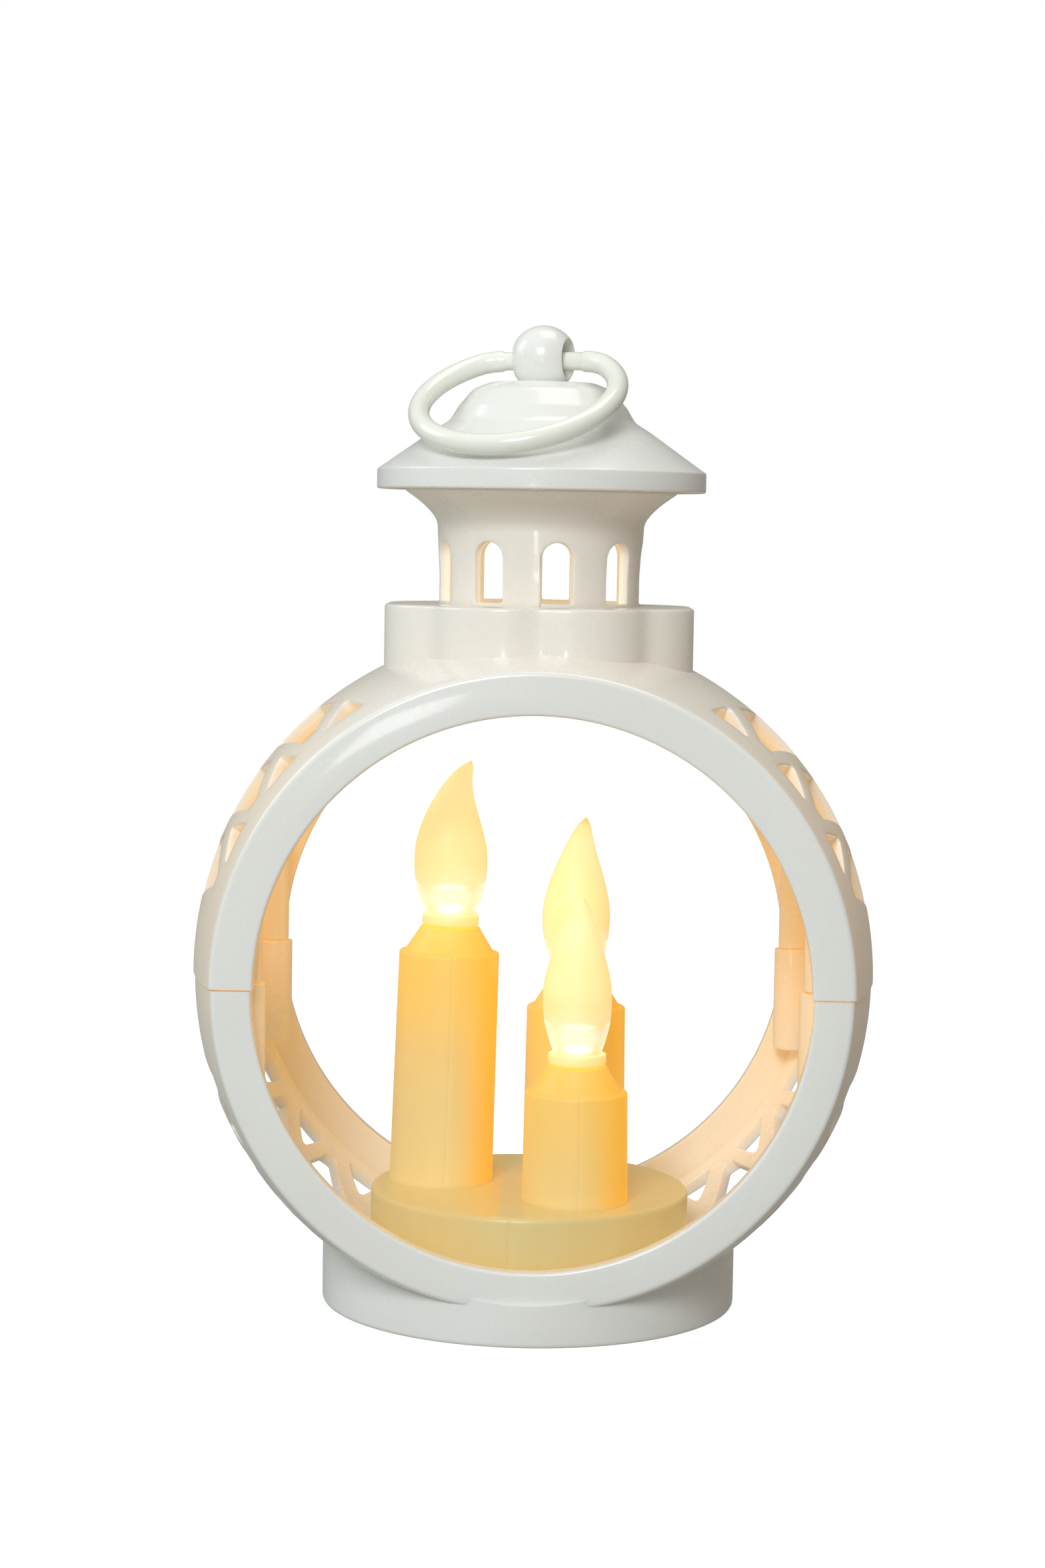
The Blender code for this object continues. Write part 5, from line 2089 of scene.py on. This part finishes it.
    def lead(self, candle: Candle, side: int, material: Material) -> Piece:
        """One insulated wire from the board up to a lamp."""
        place = self.place(candle)
        top = place @ Vector((side * self.wire_spread, 0.0, self.ledge(candle) + self.lamp_foot - 0.0003))
        low = place @ Vector((side * self.wire_spread, 0.0, 0.0020))
        foot = Vector((low.x + side * 0.0006, low.y, self.board_top + 0.0003))
        middle = top.lerp(low, 0.5) + Vector((0.0, 0.0012 * side, 0.0))
        knots = [foot, low, middle, top]
        line = []
        for first, second in zip(knots, knots[1:]):
            line += [first.lerp(second, step / 8) for step in range(8)]
        line.append(top)
        eased = [line[0]]
        for before, here, after in zip(line, line[1:], line[2:]):
            eased.append((before + here * 2 + after) / 4)
        eased.append(line[-1])
        colour = "red" if side > 0 else "black"
        return rod(f"lead_{candle.label}_{colour}", eased, [self.wire_radius] * len(eased), material, 14)


# ---------------------------------------------------------------- inside the base


@dataclass
class Base:
    """The plate, the battery door and box, the cells, the board and the switch."""

    plate_radius: float = 0.03465
    plate_foot: float = 0.0006
    plate_top: float = 0.0022
    door_length: float = 0.0510
    door_width: float = 0.0250
    clearance: float = 0.0003
    switch_y: float = 0.0200
    knob_x: float = -0.0013
    box_length: float = 0.0500
    box_width: float = 0.0238
    box_foot: float = 0.0025
    box_top: float = 0.0146
    box_wall: float = 0.0009
    box_round: float = 0.0269
    cell_radius: float = 0.00525
    cell_length: float = 0.0445
    cell_y: float = 0.0055
    cell_z: float = 0.0081
    board_radius: float = 0.0195
    board_foot: float = 0.0150
    board_top: float = 0.0160
    board_screw_x: float = 0.0140
    housing_screw_x: float = 0.0316

    def under(self, foot: float) -> Surface:
        """A face that looks down at this height, with depth running up."""
        return lambda u, v, depth: Vector((u, v, foot + depth))

    def plate(self, screw_places: Sequence[Flat]) -> Piece:
        """The plate under the base, with the battery opening and the screw holes."""
        half_x, half_y = self.door_length / 2, self.door_width / 2
        notch_y, notch = half_y - 0.0024, 0.0050
        start = math.asin(0.0024 / notch)
        door = [(-half_x, -half_y), (half_x, -half_y), (half_x, half_y)]
        door += arc(notch, start, math.pi - start, 13, notch_y)
        door += [(-half_x, half_y)]
        openings = [Opening(resampled(filleted(door, True, 0.0003, 2), 0.002), 0.00018)]
        slit = oblong((-0.0027, self.switch_y - 0.0011), (0.0027, self.switch_y + 0.0011), 0.0003)
        openings.append(Opening(slit, 0.00015))
        openings += [Opening(circle(0.0029, 36, x, y), 0.00018) for x, y in screw_places]
        for side in SIDES:
            openings.append(Opening(circle(0.0024, 32, side * self.housing_screw_x, 0.0), 0.00015, 0.0010))
        shell = Shell()
        shell.plate(
            circle(self.plate_radius, 180), openings, self.under(self.plate_foot),
            self.plate_top - self.plate_foot, 0.0025, 0.0003,
        )
        cup = [
            (0.0029, 0.0020), (0.0035, 0.0020), (0.0035, 0.0040),
            (0.0015, 0.0040), (0.0015, 0.0026), (0.0029, 0.0026),
        ]
        for x, y in screw_places:
            shell.lathe(cup, turns(36), Matrix.Translation((x, y, 0.0)), closed=True)
        return shell.closed("under_plate")

    def door(self) -> Piece:
        """The battery door, with its row of finger grooves."""
        half_x, half_y = self.door_length / 2 - self.clearance, self.door_width / 2 - self.clearance
        grooves = [
            Opening(oblong((-0.0040, y), (0.0040, y + 0.0005), 0.00018, 0.001), 0.00008, 0.0003)
            for y in (0.0086 - 0.0011 * index for index in range(4))
        ]
        shell = Shell()
        shell.plate(
            oblong((-half_x, -half_y), (half_x, half_y), 0.0005), grooves, self.under(self.plate_foot),
            self.plate_top - self.plate_foot, 0.0025, 0.0003,
        )
        return shell.closed("cell_door")

    def clipped(self, half_x: float, half_y: float, radius: float) -> list[Flat]:
        """A rectangle whose corners are cut back to a circle, anticlockwise."""
        turn = math.asin(half_y / radius)
        end = math.acos(min(half_x / radius, 1.0))
        side = arc(radius, end, turn, 5)
        right = [(x, -y) for x, y in reversed(side)] + side
        return resampled(right + [(-x, -y) for x, y in right], 0.0020)

    def box(self) -> Piece:
        """The open-bottomed box that holds the two cells."""
        half_x, half_y = self.box_length / 2, self.box_width / 2
        wall = self.box_wall
        pocket = self.clipped(half_x - wall, half_y - wall, self.box_round - wall)
        shell = Shell()
        depth = self.box_top - self.box_foot
        shell.plate(
            self.clipped(half_x, half_y, self.box_round), [Opening(pocket, 0.00012, depth - wall)],
            self.under(self.box_foot), depth, 0.0025, 0.0003,
        )
        for side in SIDES:
            boss = filleted([(0.0, 0.0124), (0.0018, 0.0124, 0.0003), (0.0018, 0.0142), (0.0, 0.0142)], False)
            shell.lathe(boss, turns(24), Matrix.Translation((side * self.board_screw_x, 0.0, 0.0)))
        return shell.closed("cell_box")

    def cell(self, index: int) -> Piece:
        """One cell with its raised end, its crimped sleeve and its flat end."""
        side = -1 if index == 1 else 1
        nub, half, wide = 0.0008, self.cell_length / 2, self.cell_radius
        outline = filleted(
            [
                (0.0, -half + 0.0001),
                (wide - 0.0016, -half + 0.0001, 0.0002),
                (wide - 0.0013, -half, 0.0001),
                (wide, -half, 0.0005),
                (wide, half - nub, 0.0005),
                (wide - 0.0014, half - nub, 0.0001),
                (wide - 0.0016, half - nub - 0.0002, 0.0001),
                (0.0021, half - nub - 0.0002, 0.0001),
                (0.0019, half, 0.0003),
                (0.0, half),
            ],
            False,
        )
        place = Matrix.Translation((0.0, side * self.cell_y, self.cell_z))
        place = place @ Matrix.Rotation(math.radians(90 * side), 4, "Y")
        return turned(f"cell_{index}", outline, 56, place)

    def board(self) -> Piece:
        """The round board that makes the lamps flicker."""
        holes = [Opening(circle(0.0011, 24, side * self.board_screw_x, 0.0), 0.0001) for side in SIDES]
        shell = Shell()
        shell.plate(
            circle(self.board_radius, 120), holes, self.under(self.board_foot),
            self.board_top - self.board_foot, 0.0022, 0.0001,
        )
        return shell.closed("flicker_board")

    def chip(self) -> Piece:
        """The blob of epoxy over the chip."""
        height, foot = 0.0011, self.board_top + self.clearance
        outline = [(0.0, foot), (0.0030, foot)]
        outline += [(0.0030 * math.cos(a) ** 0.8, foot + height * math.sin(a)) for a in spread(0.1, 1.45, 9)]
        place = Matrix.Translation((-0.0005, 0.0, 0.0))
        return turned("chip_blob", outline + [(0.0, foot + height)], 48, place)

    def resistor(self) -> Piece:
        """The resistor, thicker at its ends."""
        half, wide = 0.0031, 0.0009
        outline = filleted(
            [
                (0.0, -half), (wide, -half), (wide, -half * 0.62), (wide * 0.84, -half * 0.5),
                (wide * 0.84, half * 0.5), (wide, half * 0.62), (wide, half), (0.0, half),
            ],
            False,
            0.0004,
        )
        place = Matrix.Translation((-0.0030, -0.0100, self.board_top + self.clearance + wide))
        return turned("banded_resistor", outline, 28, place @ Matrix.Rotation(math.radians(90), 4, "Y"))

    def switch(self) -> tuple[Piece, Piece]:
        """The slide switch's case and its ribbed knob."""
        x, y, half = self.knob_x, self.switch_y, 0.0008
        case = box_shell("slide_case", (-0.0043, y - 0.0020, 0.0025), (0.0043, y + 0.0020, 0.0061), 0.0003)
        ribs = []
        for step in (0.0, 0.0005, 0.0010, 0.0014):
            slit = oblong((x - 0.0008 + step, y - 0.0005), (x - 0.0006 + step, y + 0.0005), 0.00006, 0.0005)
            ribs.append(Opening(slit, 0.00003, 0.00025))
        shell = Shell()
        outline = oblong((x - 0.0011, y - half), (x + 0.0011, y + half), 0.0002, 0.0005)
        shell.plate(outline, ribs, self.under(0.0002), 0.0020, 0.0005, 0.0001)
        return case, shell.closed("slide_knob")

    def contact(self, name: str, side: int, low_y: float, high_y: float) -> Piece:
        """One contact plate in the box, with a round dimple behind each cell end."""
        wall = self.box_length / 2 - self.box_wall - 0.0001
        half, thick = 0.0036, 0.0004

        def place(u: float, v: float, depth: float) -> Vector:
            return Vector((side * (wall - thick + depth), u, self.cell_z + v))

        shell = Shell()
        dimples = [y for y in (-self.cell_y, self.cell_y) if low_y < y < high_y]
        dents = [Opening(circle(0.0022, 24, y, 0.0), 0.0001, 0.00018) for y in dimples]
        shell.plate(oblong((low_y, -half), (high_y, half), 0.0006), dents, place, thick, 0.0018, 0.00008)
        return shell.closed(name)

    def spring(self, index: int, material: Material) -> Piece:
        """The spring at one cell's flat end."""
        side = -1 if index == 1 else 1
        wall = self.box_length / 2 - self.box_wall - 0.0001
        start = Vector((-side * (wall - 0.0004 - 0.0003), side * self.cell_y, self.cell_z))
        way = Vector((side, 0.0, 0.0))
        return coil(f"cell_spring_{index}", start, way, (0.0030, 0.0016), 0.0007, 2.25, 0.00022, material)


# ---------------------------------------------------------------- the whole lantern


WHITE = MouldedPlastic(
    "white_moulded_plastic", (0.85, 0.86, 0.84), (0.82, 0.825, 0.795), 0.20, 0.34, lit=True
)
IVORY = MouldedPlastic("ivory_moulded_plastic", (0.87, 0.89, 0.82), (0.85, 0.865, 0.79), 0.16, 0.28)
SHADE = MouldedPlastic("plain_white_plastic", (0.78, 0.78, 0.765), (0.74, 0.74, 0.72), 0.36, 0.52)
CASE = DarkPlastic("fine_black_plastic", 0.0005, 0.40, 0.00003)
BLOB = DarkPlastic("poured_black_epoxy", 0.0016, 0.10, 0.00001)
STEEL = PlatedSteel("bright_plated_steel")
RED = CableSkin("red_insulation", (0.52, 0.035, 0.025), (0.62, 0.09, 0.06))
BLACK = CableSkin("black_insulation", (0.022, 0.022, 0.022), (0.06, 0.06, 0.058))


@dataclass
class Lantern:
    """Every piece of the lantern, built in order and hung on its body."""

    housing: Housing = field(default_factory=Housing)
    chimney: Chimney = field(default_factory=Chimney)
    roof: Roof = field(default_factory=Roof)
    ring: HangingRing = field(default_factory=HangingRing)
    candles: Candles = field(default_factory=Candles)
    base: Base = field(default_factory=Base)
    walls: list[Piece] = field(default_factory=list)

    def flames(self) -> list[Vector]:
        """The middle of each flame."""
        return [self.candles.above_ledge(candle, 0.0150) for candle in Candle]

    def build(self) -> None:
        """Build all of it."""
        self.shells()
        self.lights()
        self.innards()
        self.fasteners()

    def shells(self) -> None:
        """The white shells, the roof and the ring."""
        white = WHITE.material()
        ivory = IVORY.material()
        self.walls = [
            fixed(self.housing.upper(), white, "white_plastic", "upper_housing"),
            fixed(self.housing.lower(), white, "white_plastic", "lower_housing"),
            fixed(self.chimney.build(), white, "white_plastic", "chimney_vent"),
            fixed(self.roof.build(), white, "white_plastic", "roof_cap"),
        ]
        handed(self.ring.build(ivory), Body.RING, ivory, "ivory_plastic", "hanging_ring")

    def lights(self) -> None:
        """The tray with its candles, the flames, the lamps and their wires."""
        candles = self.candles
        heads = tuple(tuple(candles.above_ledge(candle, 0.003)) for candle in Candle)
        wax = LitWax("lit_amber_plastic", heads).material()
        fixed(candles.tray(), wax, "amber_plastic", "candle_tray")
        lens = LampLens("clear_warm_epoxy").material()
        red, black = RED.material(), BLACK.material()
        for candle in Candle:
            rim = candles.above_ledge(candle, candles.rim_foot)
            tall = candles.tip - candles.rim_foot
            glow = LitFlame("lit_flame_" + candle.label, tuple(rim), tall).material()
            fixed(candles.flame(candle), glow, "flame_plastic", "flame_" + candle.label)
            fixed(candles.lamp(candle), lens, "led_lens", "led_" + candle.label)
            for side, skin, colour in ((1, red, "red"), (-1, black, "black")):
                lead = candles.lead(candle, side, skin)
                fixed(lead, skin, f"{colour}_wire", f"wire_{candle.label}_{colour}")

    def innards(self) -> None:
        """What the base holds."""
        base = self.base
        plain, case, steel = SHADE.material(), CASE.material(), STEEL.material()
        fixed(base.plate(self.candles.screws), plain, "white_plastic", "base_plate")
        handed(base.door(), Body.DOOR, plain, "white_plastic", "battery_door")
        fixed(base.box(), case, "black_plastic", "battery_box")
        sleeve = CellSleeve("dark_shrunk_sleeve", base.cell_length / 2).material()
        wide, edge = base.cell_y + 0.0036, 0.0036
        for name, side, low, high, node in (
            ("steel_link", -1, -wide, wide, "contact_link"),
            ("steel_plus", 1, base.cell_y - edge, wide, "contact_positive"),
            ("steel_minus", 1, -wide, edge - base.cell_y, "contact_negative"),
        ):
            fixed(base.contact(name, side, low, high), steel, "plated_steel", node)
        for index in (1, 2):
            fixed(base.cell(index), sleeve, "battery_sleeve", f"battery_{index}")
            fixed(base.spring(index, steel), steel, "plated_steel", f"battery_spring_{index}")
        board = CircuitBoard("green_solder_mask").material()
        fixed(base.board(), board, "circuit_board", "driver_board")
        fixed(base.chip(), BLOB.material(), "black_epoxy", "flicker_chip")
        lacquer = BandedLacquer("banded_tan_lacquer", -0.0030).material()
        fixed(base.resistor(), lacquer, "resistor_paint", "resistor")
        body, knob = base.switch()
        fixed(body, case, "black_plastic", "switch_body")
        handed(knob, Body.SWITCH, case, "black_plastic", "switch_knob")

    def fasteners(self) -> None:
        """Every screw."""
        steel = STEEL.material()
        base = self.base
        groups = (
            ("tray_fixings", "tray_screw_", [(x, y, 0.0010) for x, y in self.candles.screws],
             (0.0025, 0.0013, 0.0012, 0.0130), False),
            ("base_fixings", "base_screw_", [(side * base.housing_screw_x, 0.0, 0.0007) for side in SIDES],
             (0.0020, 0.0006, 0.0009, 0.0070), False),
            ("board_fixings", "board_screw_", [(side * base.board_screw_x, 0.0, 0.0171) for side in SIDES],
             (0.0018, 0.0008, 0.0008, 0.0044), True),
        )
        for name, stem, places, sizes, down in groups:
            pattern = screw_pattern(*sizes)
            group = screws(name, places, pattern, steel, down)
            bpy.data.objects.remove(pattern)
            nodes = [f"{stem}{index + 1}" for index in range(len(places))]
            fixed(group, steel, "plated_steel", *nodes)


@dataclass
class Studio:
    """A plain pale room with soft lights, and the camera."""

    eye: Triple = (0.000109, -0.558552, 0.138316)
    pan: float = 0.264
    tilt: float = -4.654
    roll: float = 0.986
    lens: float = 72.14
    candle_power: float = 0.0050
    floor_half: float = 6.0
    dome_radius: float = 5.0

    def build(self) -> None:
        """Make the camera, the room and the lights."""
        self.camera()
        self.room()
        self.lamp("key", (-0.20, -0.98, 0.62), 0.34, 6.9, (0.96, 0.985, 1.0))
        self.lamp("rim", (-0.70, 0.10, 0.55), 0.40, 1.2, (0.95, 0.98, 1.0))
        self.lamp("top", (0.15, 0.05, 0.95), 0.50, 2.2, (1.0, 0.97, 0.93))
        self.lamp("flash", (-0.058, -0.634, 0.082), 0.05, 0.10, (1.0, 1.0, 1.0))
        scene = bpy.context.scene
        scene.view_settings.view_transform = "Standard"
        scene.view_settings.look = "None"

    def camera(self) -> None:
        """The camera, which is the scene's own."""
        data = bpy.data.cameras.new("camera")
        data.lens = self.lens
        data.sensor_width = 36.0
        data.clip_start, data.clip_end = 0.01, 20.0
        made = linked("camera", data)
        turn = Matrix.Rotation(math.radians(self.pan), 4, "Z")
        turn = turn @ Matrix.Rotation(math.radians(90.0 + self.tilt), 4, "X")
        turn = turn @ Matrix.Rotation(math.radians(self.roll), 4, "Z")
        made.matrix_world = Matrix.Translation(self.eye) @ turn
        bpy.context.scene.camera = made

    def room(self) -> None:
        """The floor and the white backdrop all round, and the dim light that fills the shadows."""
        floor, half = Shell(), self.floor_half
        corners = ((-half, -half), (half, -half), (half, half), (-half, half))
        floor.cap(floor.loop((x, y, 0.0) for x, y in corners))
        self.surround("floor", floor, 0.40, 0.89)
        dome = Shell()
        dome.lathe(arc(self.dome_radius, math.pi / 2, -math.pi / 2, 25), turns(48))
        self.surround("backdrop", dome, 0.0, 1.0)
        world = bpy.data.worlds.new("pale_world")
        world.use_nodes = True
        tree = world.node_tree
        facing = tree.nodes.new("ShaderNodeTexCoord")
        parts = tree.nodes.new("ShaderNodeSeparateXYZ")
        tree.links.new(facing.outputs["Generated"], parts.inputs[0])
        sides = self.blended(tree, parts.outputs["X"], (0.38, 0.41, 0.39), (0.25, 0.23, 0.20))
        below = self.blended(tree, parts.outputs["Z"], (0.40, 0.37, 0.32), (0.0, 0.0, 0.0))
        whole = tree.nodes.new("ShaderNodeMix")
        whole.data_type, whole.blend_type = "RGBA", "LIGHTEN"
        whole.inputs[0].default_value = 1.0
        tree.links.new(sides, whole.inputs[6])
        tree.links.new(below, whole.inputs[7])
        tree.links.new(whole.outputs[2], tree.nodes["Background"].inputs["Color"])
        bpy.context.scene.world = world

    def blended(
        self, tree: bpy.types.NodeTree, value: bpy.types.NodeSocket, low: Colour, high: Colour
    ) -> bpy.types.NodeSocket:
        """Colours of the room from one side to the other."""
        across = tree.nodes.new("ShaderNodeMapRange")
        across.inputs["From Min"].default_value = -0.8
        across.inputs["From Max"].default_value = 0.8
        tree.links.new(value, across.inputs["Value"])
        colours = tree.nodes.new("ShaderNodeValToRGB")
        colours.color_ramp.elements[0].color = (*low, 1.0)
        colours.color_ramp.elements[1].color = (*high, 1.0)
        tree.links.new(across.outputs[0], colours.inputs[0])
        return colours.outputs[0]

    def surround(self, name: str, shell: Shell, pale: float, glow: float) -> None:
        """One part of the room, which the camera sees and which throws no light on the lantern."""
        mesh = bpy.data.meshes.new(name)
        mesh.from_pydata([tuple(point) for point in shell.points], [], shell.faces)
        made = linked(name, mesh)
        paint = Paint("pale_" + name)
        paint.set(Base_Color=(pale, pale, pale), Roughness=0.9, Specular_IOR_Level=0.0)
        paint.set(Emission_Color=(1.0, 1.0, 1.0), Emission_Strength=glow)
        mesh.materials.append(paint.material)
        for ray in ("diffuse", "glossy", "transmission", "shadow", "volume_scatter"):
            setattr(made, "visible_" + ray, False)

    def candle_lamps(self, places: Sequence[Vector], walls: Sequence[Piece]) -> None:
        """The light that the flames throw on the walls round them.

        Args:
            places: The middle of each flame.
            walls: The pieces that they light.
        """
        lit = bpy.data.collections.new("lit_by_the_candles")
        for wall in walls:
            lit.objects.link(wall)
        for index, place in enumerate(places):
            data = bpy.data.lights.new(f"candle_light_{index}", "POINT")
            data.energy = self.candle_power
            data.color = (1.0, 0.64, 0.30)
            data.shadow_soft_size = 0.005
            made = linked(data.name, data)
            made.location = place
            made.visible_camera = False
            made.light_linking.receiver_collection = lit
            made.light_linking.blocker_collection = lit

    def lamp(self, name: str, place: Triple, size: float, power: float, colour: Colour) -> None:
        """A soft square light that faces the lantern."""
        data = bpy.data.lights.new(name, "AREA")
        data.size = size
        data.energy = power
        data.color = colour
        made = linked(name, data)
        aim = Vector((0.0, 0.0, 0.08)) - Vector(place)
        made.matrix_world = Matrix.Translation(place) @ aim.to_track_quat("-Z", "Y").to_matrix().to_4x4()


def main() -> None:
    """Build the lantern and its studio."""
    logging.basicConfig(level=logging.INFO, format="%(message)s")
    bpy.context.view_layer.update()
    studio, lantern = Studio(), Lantern()
    studio.build()
    lantern.build()
    studio.candle_lamps(lantern.flames(), lantern.walls)


if __name__ == "__main__":
    main()
